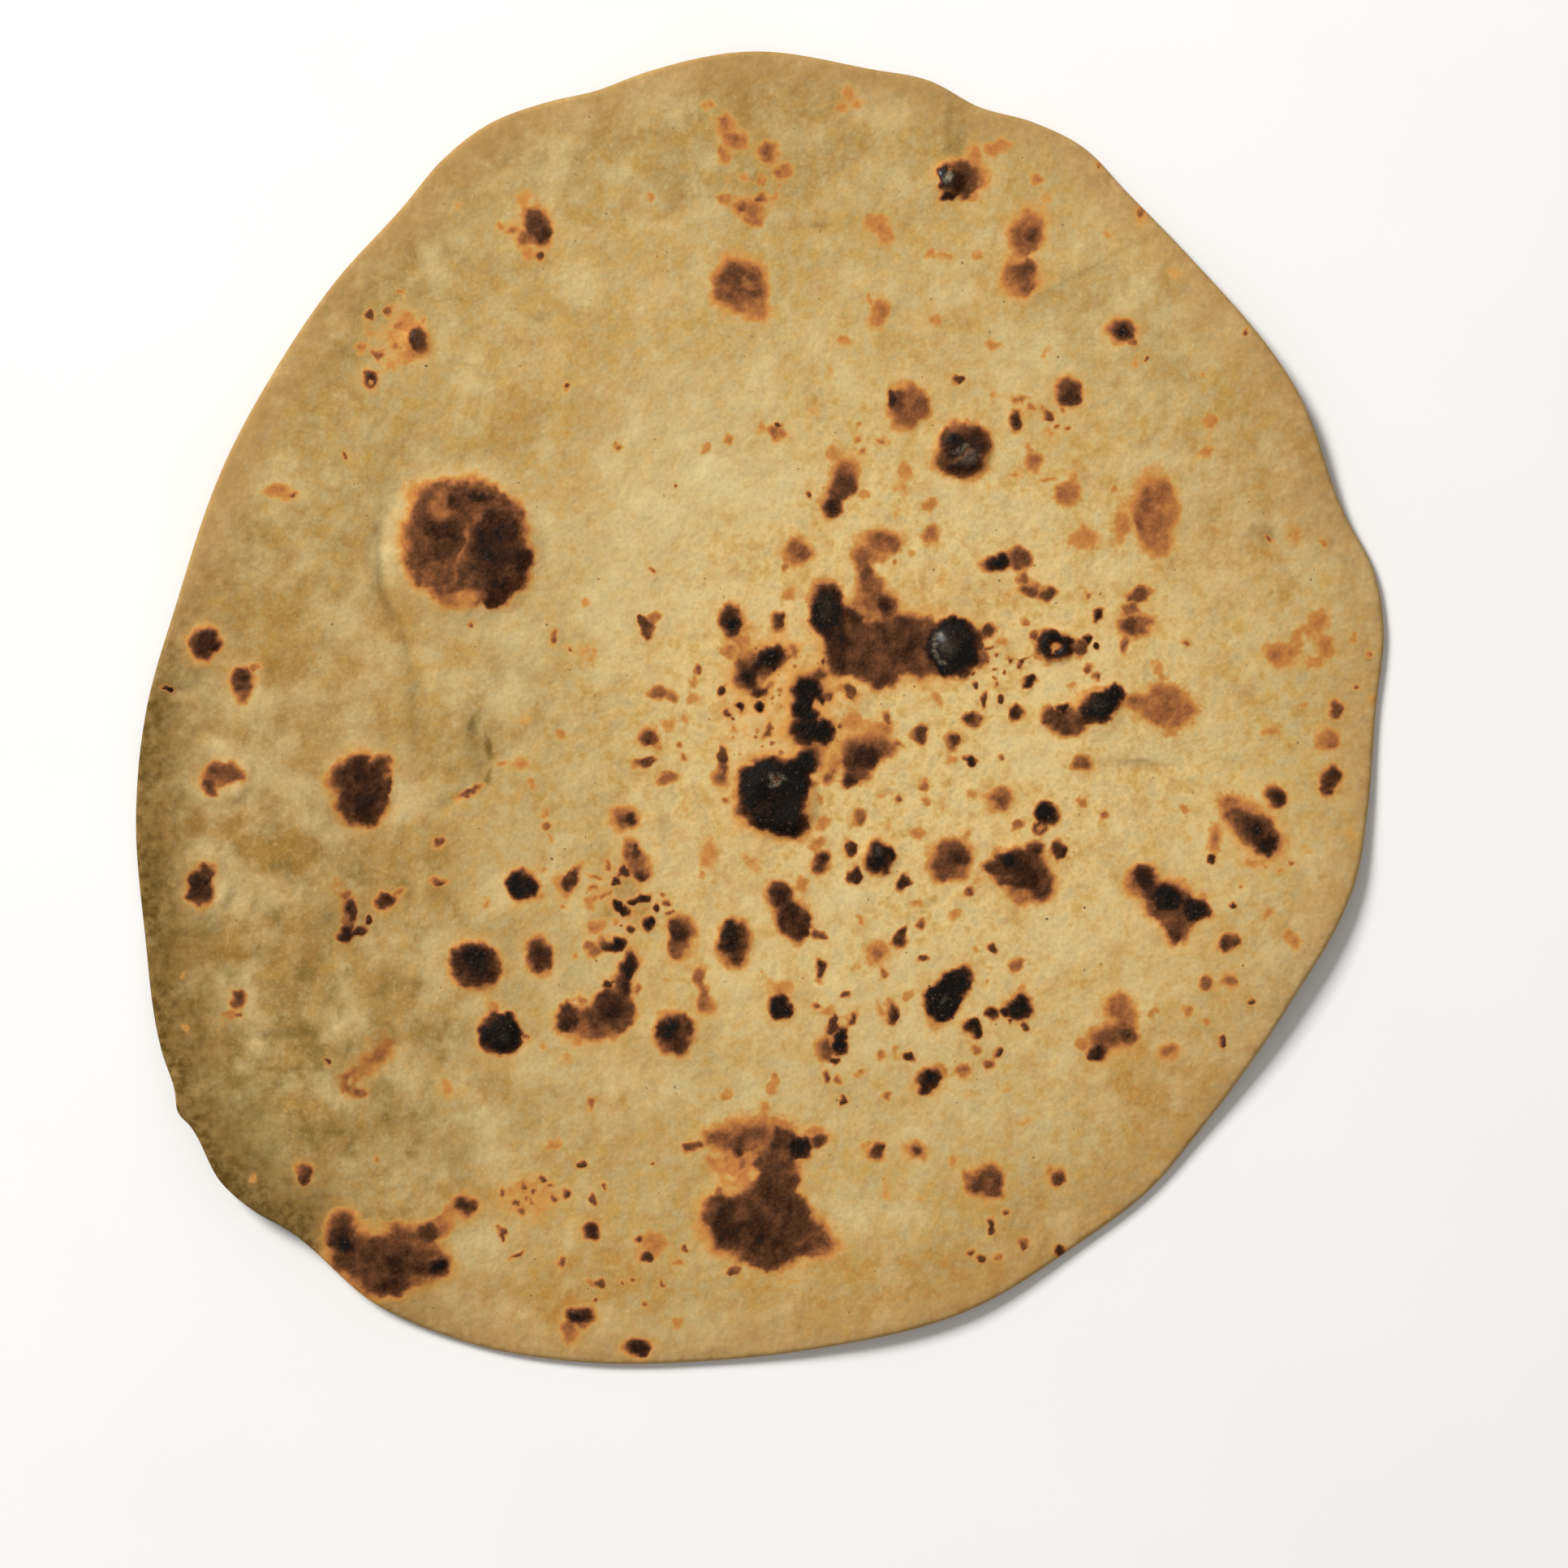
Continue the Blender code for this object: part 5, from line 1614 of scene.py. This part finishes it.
def plain_mesh(name: str, start: bpy.types.Object, low: float, high: float) -> bpy.types.Object:
    """Turn an object and its modifiers into a new object with a plain mesh.

    Args:
        name: The new object's name.
        start: The object whose result is taken; it is removed.
        low: The lowest height that a point may have.
        high: The greatest height that a point may have.

    Returns:
        The new object, at the origin.
    """
    graph = bpy.context.evaluated_depsgraph_get()
    mesh = bpy.data.meshes.new_from_object(
        start.evaluated_get(graph), preserve_all_data_layers=True, depsgraph=graph)
    mesh.name = name
    piece = linked(name, mesh)
    old = start.data
    bpy.data.objects.remove(start, do_unlink=True)
    bpy.data.meshes.remove(old)
    points = np.zeros((len(mesh.vertices), 3), np.float32)
    mesh.vertices.foreach_get("co", points.ravel())
    points[:, 2] = np.clip(points[:, 2], low, high)
    mesh.vertices.foreach_set("co", points.ravel())
    mesh.update()
    return piece


def attach(piece: bpy.types.Object) -> None:
    """Let a finished piece ride on the bread's body, and report it.

    Args:
        piece: The finished piece.
    """
    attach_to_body(piece, BODY)
    piece.data.calc_loop_triangles()
    log.info("%s: %d triangles", piece.name, len(piece.data.loop_triangles))


class TreeMaker:
    """A Geometry Nodes tree with named inputs, put on an object as a modifier."""

    def __init__(self, name: str, inputs: dict[str, tuple[str, object]]) -> None:
        """Make the tree.

        Args:
            name: The tree's name.
            inputs: For each named input, its socket type and its value.
        """
        self.tree = bpy.data.node_groups.new(name, "GeometryNodeTree")
        face = self.tree.interface
        for way in ("INPUT", "OUTPUT"):
            face.new_socket(name="Geometry", in_out=way, socket_type="NodeSocketGeometry")
        self.values = {}
        for label, (kind, value) in inputs.items():
            socket = face.new_socket(name=label, in_out="INPUT", socket_type=kind)
            self.values[socket.identifier] = value
        self.graph = NodeGraph(self.tree)
        self.inlet = self.graph.add("NodeGroupInput").outputs

    def number(self, layer: Layer) -> Socket:
        """Return a number that the points of the skin carry."""
        return self.graph.add("GeometryNodeInputNamedAttribute", {"Name": layer.value},
                              data_type="FLOAT").outputs["Attribute"]

    def close(self, geometry: Socket) -> None:
        """End the tree in real geometry with its material."""
        real = self.graph.add("GeometryNodeRealizeInstances", {"Geometry": geometry})
        dressed = self.graph.add("GeometryNodeSetMaterial", {
            "Geometry": real.outputs["Geometry"], "Material": self.inlet["Material"],
        })
        self.graph.add("NodeGroupOutput", {"Geometry": dressed.outputs["Geometry"]})

    def put_on(self, item: bpy.types.Object) -> None:
        """Add the tree to an object as a modifier, with its inputs set.

        Args:
            item: The object.
        """
        modifier = item.modifiers.new(self.tree.name, "NODES")
        modifier.node_group = self.tree
        for identifier, value in self.values.items():
            modifier[identifier] = value


@dataclass
class Crust:
    """The bread's whole skin: top, rim and underside in one closed mesh.

    Spacings are those of the plain, the closer and the closest points. A tone patch narrower than
    the thin tone gets close points along it. The hidden pale is the share of the pale tone that
    the underside keeps, in the reverse order of its points, so that it doesn't repeat the top's.
    """

    outline: Outline
    form: Form
    griddled: ScorchMap
    hidden: ScorchMap
    finish: CrustFinish = field(default_factory=CrustFinish)
    top_spacings: tuple[float, float, float] = (1.15 * MM, 0.56 * MM, 0.30 * MM)
    hidden_spacings: tuple[float, float, float] = (2.2 * MM, 1.0 * MM, 0.75 * MM)
    thin_tone: float = 1.4 * MM
    underside_gap: float = 0.03 * MM
    hollow_depth: float = 0.10 * MM
    hollow_noise: Pair = (6.0 * MM, 21.0)
    hidden_pale: float = 0.6
    mark_rise: float = 0.16 * MM
    mark_rise_band: Pair = (0.25, 1.0)
    bubble_count: int = 260
    bubble_seed: int = 5
    bubble_spread: float = 90.0 * MM
    bubble_radii: Pair = (1.0 * MM, 2.8 * MM)
    bubble_heights: Pair = (0.03 * MM, 0.12 * MM)
    ripple: float = 0.05 * MM
    ripple_noise: Pair = (3.4 * MM, 7.0)
    grain_height: float = 0.05 * MM
    grain_size: float = 1.3 * MM
    char_height: float = 0.14 * MM
    char_size: float = 1.1 * MM
    char_band: Span = (0.55, 0.95)
    open_band: Pair = (1.0 * MM, 4.0 * MM)
    ceiling_room: float = 0.06 * MM

    def bubble_height(self, x: Array, y: Array) -> Array:
        """Find the height of the small bubbles that the steam has raised.

        Args:
            x: Places across.
            y: Places along.

        Returns:
            One height for each place.
        """
        draw = np.random.default_rng(self.bubble_seed)
        total = np.zeros_like(x)
        for _ in range(self.bubble_count):
            centre_x, centre_y = draw.uniform(-self.bubble_spread, self.bubble_spread, 2)
            radius, height = draw.uniform(*self.bubble_radii), draw.uniform(*self.bubble_heights)
            dx, dy = x - centre_x, y - centre_y
            near = np.flatnonzero((np.abs(dx) < radius) & (np.abs(dy) < radius))
            hill = height * soft_hill(np.hypot(dx[near], dy[near]) / radius)
            total[near] = np.maximum(total[near], hill)
        return total

    def top_height(self, x: Array, y: Array, browning: Array) -> Array:
        """Height of the top surface.

        Args:
            x: Places across.
            y: Places along.
            browning: How browned each place is; browned places stand a little proud.

        Returns:
            One height for each place.
        """
        relief = self.form.puff_height(x, y) + self.form.blister_height(x, y)
        relief += self.form.crease_height(x, y) + self.form.lump_height(x, y)
        relief += self.bubble_height(x, y) + self.ripple * noise_at(x, y, *self.ripple_noise)
        relief += self.mark_rise * smooth_step(*self.mark_rise_band, browning)
        calm = smooth_step(0.0, self.form.calm_band, self.outline.depth(x, y))
        base = self.form.lift_height(self.outline, x, y) + self.form.thickness(self.outline, x, y)
        return np.minimum(base + relief * calm, CAD_BOX[1].z - self.ceiling_room)

    def under_height(self, x: Array, y: Array) -> Array:
        """Return the height of the underside, with its own shallow unevenness."""
        hollow = self.hollow_depth * np.clip(noise_at(x, y, *self.hollow_noise), 0.0, None)
        calm = smooth_step(0.0, self.form.calm_band, self.outline.depth(x, y))
        return self.underside_gap + self.form.lift_height(self.outline, x, y) + hollow * calm

    def plans(self) -> tuple[SkinPlan, SkinPlan]:
        """Plan where the skin needs points.

        Returns:
            The plan of the top and that of the underside.
        """
        tones = [tone for table in TONES.values() for tone in patches_of(table)]
        lines = tuple(tone for tone in tones if tone.small_half() < self.thin_tone)
        marks = self.griddled.marks + self.griddled.clearings_and_highlights
        top = SkinPlan(self.outline, self.form, marks, self.top_spacings, lines=lines)
        under = SkinPlan(self.outline, self.form, self.hidden.marks, self.hidden_spacings,
                         with_relief=False)
        return top, under

    def side_layers(self, scorches: ScorchMap, x: Array, y: Array) -> dict[Layer, Array]:
        """Find every layer of one side.

        Args:
            scorches: The marks of that side.
            x: Places across.
            y: Places along.

        Returns:
            For each layer, one number for each place.
        """
        moved = scorches.leaned(x, y)
        room = self.outline.depth(x, y)
        return DoughTone(self.outline).layers(x, y) | {
            Layer.SCORCH: scorches.browning(*moved),
            Layer.HALO: scorches.halo(*moved),
            Layer.SPATTER: scorches.spatter(x, y),
            Layer.ASH: scorches.ash(x, y),
            Layer.SHINE: scorches.shine(x, y),
            Layer.OPEN: smooth_step(*self.open_band, room),
        }

    def build(self) -> bpy.types.Object:
        """Build the closed skin with its layers, before its fine relief.

        Returns:
            The skin: the rows of the rim from top to bottom, then the top, then the underside.
        """
        steps, rows = self.outline.steps, self.outline.rows
        border = self.outline.ring(self.outline.rounding + self.outline.trim)
        edge_x, edge_y = border.T
        edge_layers = self.side_layers(self.griddled, edge_x, edge_y)
        low = self.under_height(edge_x, edge_y)
        high = self.top_height(edge_x, edge_y, edge_layers[Layer.SCORCH])
        places, heights, layers = [], [], []
        for row in range(rows + 1):
            turn = math.pi * (0.5 - row / rows)
            inset = self.outline.trim + self.outline.rounding * (1.0 - math.cos(turn))
            places.append(self.outline.ring(inset))
            heights.append(0.5 * (low + high) + 0.5 * (high - low) * math.sin(turn))
            layers.append({layer: self.rim_share(layer, 1.0 - row / rows) * value
                           for layer, value in edge_layers.items()})
        top, under = (plan.points() for plan in self.plans())
        for points, scorches in ((top, self.griddled), (under, self.hidden)):
            x, y = points.T
            found = self.side_layers(scorches, x, y)
            if scorches is self.hidden:
                found[Layer.PALE] = self.hidden_pale * found[Layer.PALE][::-1]
                heights.append(self.under_height(x, y))
            else:
                heights.append(self.top_height(x, y, found[Layer.SCORCH]))
            places.append(points)
            layers.append(found)
        round_edge = np.arange(steps)
        rim_count = steps * (rows + 1)
        upper = np.concatenate((round_edge, rim_count + np.arange(len(top))))
        first_under = rim_count + len(top)
        lower = np.concatenate((steps * rows + round_edge, first_under + np.arange(len(under))))
        faces = np.vstack((self.rim_faces(steps), upper[triangulate(border, top)],
                           lower[triangulate(border, under)][:, ::-1]))
        spots = np.vstack(places) - self.outline.middle()
        points = np.column_stack((spots, np.concatenate(heights)))
        mesh = bpy.data.meshes.new("skin")
        mesh.from_pydata(points.tolist(), [], faces.tolist())
        mesh.shade_smooth()
        for layer in layers[0]:
            values = np.concatenate([part[layer] for part in layers]).astype(np.float32)
            mesh.attributes.new(layer.value, "FLOAT", "POINT").data.foreach_set("value", values)
        return linked("skin", mesh)

    def rim_share(self, layer: Layer, share: float) -> float:
        """Return how much of a layer is left at a share of the way up the rim."""
        return share if layer in (Layer.SCORCH, Layer.HALO, Layer.PALE) else 1.0

    def rim_faces(self, steps: int) -> Array:
        """Join the rows of the half-round rim, from the top edge to the bottom edge.

        Args:
            steps: How many points a row has.

        Returns:
            Three numbers of points for each triangle.
        """
        here = np.arange(steps)
        after = (here + 1) % steps
        faces = []
        for row in range(self.outline.rows):
            upper, lower = row * steps, (row + 1) * steps
            faces.append(np.column_stack((upper + here, lower + here, lower + after)))
            faces.append(np.column_stack((upper + here, lower + after, upper + after)))
        return np.vstack(faces)

    def relief_tree(self, material: bpy.types.Material) -> TreeMaker:
        """Build the tree that gives the skin its grain and its crackled char.

        Args:
            material: The finish of the skin.

        Returns:
            The tree.
        """
        maker = TreeMaker("crust_relief", {
            "Grain height": ("NodeSocketFloat", self.grain_height),
            "Grain size": ("NodeSocketFloat", self.grain_size),
            "Char height": ("NodeSocketFloat", self.char_height),
            "Char size": ("NodeSocketFloat", self.char_size),
            "Material": ("NodeSocketMaterial", material),
        })
        graph, inlet = maker.graph, maker.inlet
        place = graph.add("GeometryNodeInputPosition").outputs[0]
        bumps = []
        for kind in ("Grain", "Char"):
            scale = graph.math("DIVIDE", 1.0, inlet[f"{kind} size"])
            values = {"Vector": place, "Scale": scale, "Detail": 2.0}
            lumps = graph.add("ShaderNodeTexNoise", values).outputs[0]
            lumps = graph.math("SUBTRACT", lumps, 0.5)
            bumps.append(graph.times(lumps, inlet[f"{kind} height"]))
        charred = graph.span(maker.number(Layer.SCORCH), *self.char_band)
        rise = graph.plus(bumps[0], graph.times(bumps[1], charred))
        rise = graph.times(rise, maker.number(Layer.OPEN))
        normal = graph.add("GeometryNodeInputNormal").outputs[0]
        moved = graph.add("GeometryNodeSetPosition", {
            "Geometry": inlet["Geometry"], "Offset": graph.scaled(normal, rise),
        })
        maker.close(moved.outputs["Geometry"])
        return maker

    def dress(self, skin: bpy.types.Object) -> bpy.types.Object:
        """Give the skin its fine relief and finish.

        Args:
            skin: The closed skin.

        Returns:
            The finished piece.
        """
        self.relief_tree(self.finish.material()).put_on(skin)
        top = CAD_BOX[1].z - 0.5 * self.ceiling_room
        piece = plain_mesh("chapati_crust", skin, 0.2 * self.underside_gap, top)
        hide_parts(NODE)
        attach(piece)
        return piece


@dataclass(frozen=True)
class Strewn:
    """Small grains strewn over the crust by Geometry Nodes.

    They lie where the layer's value runs from none to all over the layer's range, away from the
    rim. The density is in grains to a square metre, and the rounds are the grain's subdivisions.
    """

    name: str
    density: float
    lengths: Pair
    width_shares: Pair
    height: float
    seed: int
    layer: Layer
    layer_range: Pair
    open_least: float = 0.5
    rounds: int = 1
    lowest: float = 0.005 * MM

    def tree(self, material: bpy.types.Material) -> TreeMaker:
        """Build the tree that strews the grains.

        Args:
            material: Their finish.

        Returns:
            The tree.
        """
        maker = TreeMaker(self.name, {
            "Density": ("NodeSocketFloat", self.density),
            "Shortest": ("NodeSocketFloat", self.lengths[0]),
            "Longest": ("NodeSocketFloat", self.lengths[1]),
            "Height": ("NodeSocketFloat", self.height),
            "Seed": ("NodeSocketInt", self.seed),
            "Material": ("NodeSocketMaterial", material),
        })
        graph, inlet = maker.graph, maker.inlet
        wanted = graph.span(maker.number(self.layer), *self.layer_range)
        away = graph.math("GREATER_THAN", maker.number(Layer.OPEN), self.open_least)
        density = graph.times(graph.times(wanted, away), inlet["Density"])
        strewn = graph.add("GeometryNodeDistributePointsOnFaces", {
            "Mesh": inlet["Geometry"], "Density": density, "Seed": inlet["Seed"],
        })
        toned = graph.add("GeometryNodeStoreNamedAttribute", {
            "Geometry": strewn.outputs["Points"], "Name": Layer.FLECK.value,
            "Value": self.random(maker, 0.0, 1.0, 1),
        }, data_type="FLOAT", domain="POINT")
        spin = graph.add("ShaderNodeCombineXYZ", {2: self.random(maker, 0.0, 2.0 * math.pi, 2)})
        spin = graph.add("FunctionNodeEulerToRotation", {0: spin.outputs[0]})
        turn = graph.add("FunctionNodeRotateRotation", {
            0: strewn.outputs["Rotation"], 1: spin.outputs[0],
        }, rotation_space="LOCAL")
        length = self.random(maker, inlet["Shortest"], inlet["Longest"], 3)
        width = graph.times(length, self.random(maker, *self.width_shares, 4))
        size = graph.add("ShaderNodeCombineXYZ", {0: length, 1: width, 2: inlet["Height"]})
        values = {"Radius": 0.5, "Subdivisions": self.rounds}
        grain = graph.add("GeometryNodeMeshIcoSphere", values)
        placed = graph.add("GeometryNodeInstanceOnPoints", {
            "Points": toned.outputs["Geometry"], "Instance": grain.outputs["Mesh"],
            "Rotation": turn.outputs[0], "Scale": size.outputs[0],
        })
        maker.close(placed.outputs["Instances"])
        return maker

    def random(self, maker: TreeMaker, low: object, high: object, number: int) -> Socket:
        """Make a random number for each point.

        Args:
            maker: The tree, whose seed it follows.
            low: The smallest value.
            high: The largest value.
            number: The number of the draw, so that each is its own.

        Returns:
            The socket with the number.
        """
        seed = maker.graph.plus(maker.graph.times(maker.inlet["Seed"], 7.0), float(number))
        values = {2: low, 3: high, "Seed": seed}
        return maker.graph.add("FunctionNodeRandomValue", values, data_type="FLOAT").outputs[1]

    def build(self, crust: bpy.types.Object, material: bpy.types.Material) -> bpy.types.Object:
        """Strew the grains over the crust.

        Args:
            crust: The finished crust.
            material: Their finish.

        Returns:
            The finished piece.
        """
        start = linked(f"{self.name}_start", crust.data.copy())
        self.tree(material).put_on(start)
        piece = plain_mesh(self.name, start, self.lowest, CAD_BOX[1].z)
        attach(piece)
        return piece


@dataclass(frozen=True)
class Studio:
    """A plain pale floor, soft light from the upper left, and the camera straight overhead."""

    floor_half: float = 2.0
    floor_drop: float = 0.05 * MM
    floor_colours: tuple[Colour, Colour] = (shade(238, 236, 232), shade(241, 240, 237))
    floor_grain: Noise = (0.05, 3.0, 0.0)
    floor_share: Span = (0.2, 0.8)
    floor_roughness: float = 0.9
    sky_colour: Colour = (1.0, 1.0, 1.0, 1.0)
    sky_strength: float = 0.36
    lamp_distance: float = 2.2
    lamp_bearing: float = 135.0
    lamp_elevation: float = 40.0
    lamp_size: float = 0.7
    lamp_power: float = 58.0
    lens: float = 100.0
    sensor: float = 36.0
    clip: Pair = (0.01, 10.0)
    focus_height: float = 2.0 * MM

    def floor(self) -> bpy.types.Object:
        """Build the floor.

        Returns:
            The floor, which is the stage and no part of the bread.
        """
        half = self.floor_half
        mesh = bpy.data.meshes.new("floor")
        corners = [(-half, -half), (half, -half), (half, half), (-half, half)]
        mesh.from_pydata([(x, y, -self.floor_drop) for x, y in corners], [], [(0, 1, 2, 3)])
        material, graph = new_material("pale_floor")
        grain = graph.span(graph.clouds(self.floor_grain), *self.floor_share)
        colour = graph.blend(grain, *self.floor_colours)
        graph.surface({"Base Color": colour, "Roughness": self.floor_roughness})
        mesh.materials.append(material)
        floor = linked("floor", mesh)
        return floor

    def light(self) -> None:
        """Set the even sky and the one large soft lamp."""
        world = bpy.data.worlds.new("sky")
        world.use_nodes = True
        NodeGraph(world.node_tree).close("ShaderNodeBackground", "ShaderNodeOutputWorld", {
            "Color": self.sky_colour, "Strength": self.sky_strength,
        })
        bpy.context.scene.world = world
        lamp = bpy.data.lights.new("soft_lamp", "AREA")
        lamp.size = self.lamp_size
        lamp.energy = self.lamp_power
        holder = linked("soft_lamp", lamp)
        bearing, elevation = math.radians(self.lamp_bearing), math.radians(self.lamp_elevation)
        flat = math.cos(elevation)
        way = Vector((math.cos(bearing) * flat, math.sin(bearing) * flat, math.sin(elevation)))
        holder.location = self.lamp_distance * way
        holder.rotation_mode = "QUATERNION"
        holder.rotation_quaternion = way.to_track_quat("Z", "Y")

    def camera(self, outline: Outline) -> None:
        """Set the camera over the middle of the photograph, looking straight down.

        Args:
            outline: The outline, whose middle is the bread's origin.
        """
        data = bpy.data.cameras.new("overhead")
        data.lens = self.lens
        data.sensor_width = self.sensor
        data.clip_start, data.clip_end = self.clip
        camera = linked("overhead", data)
        x, y = RULER.place(RULER.side / 2.0, RULER.side / 2.0)
        middle = outline.middle()
        distance = RULER.width() * self.lens / self.sensor
        camera.location = (x - middle[0], y - middle[1], distance + self.focus_height)
        bpy.context.scene.camera = camera

    def build(self, outline: Outline) -> None:
        """Build the floor, light and camera.

        Args:
            outline: The bread's outline.
        """
        self.floor()
        self.light()
        self.camera(outline)
        bpy.context.scene.view_settings.view_transform = "Standard"
        log.info("studio: floor, sky, lamp and camera")


def main() -> None:
    """Build the bread and its studio."""
    logging.basicConfig(level=logging.INFO, format="%(name)s: %(message)s")
    outline = Outline()
    hidden = ScorchMap(HiddenRule().marks(outline))
    crust = Crust(outline, Form(), ScorchMap.griddled_side(), hidden)
    piece = crust.dress(crust.build())
    Strewn(
        name="bran_flecks", density=1.6e4, lengths=(0.18 * MM, 0.55 * MM),
        width_shares=(0.3, 0.8), height=0.012 * MM, seed=3,
        layer=Layer.SCORCH, layer_range=(0.3, -0.2),
    ).build(piece, BRAN.material())
    Strewn(
        name="char_crumbs", density=6.0e5, lengths=(0.2 * MM, 0.5 * MM),
        width_shares=(0.5, 0.9), height=0.08 * MM, seed=4,
        layer=Layer.SCORCH, layer_range=(0.84, 0.97),
    ).build(piece, CRUMBS.material())
    Studio().build(outline)


if __name__ == "__main__":
    main()
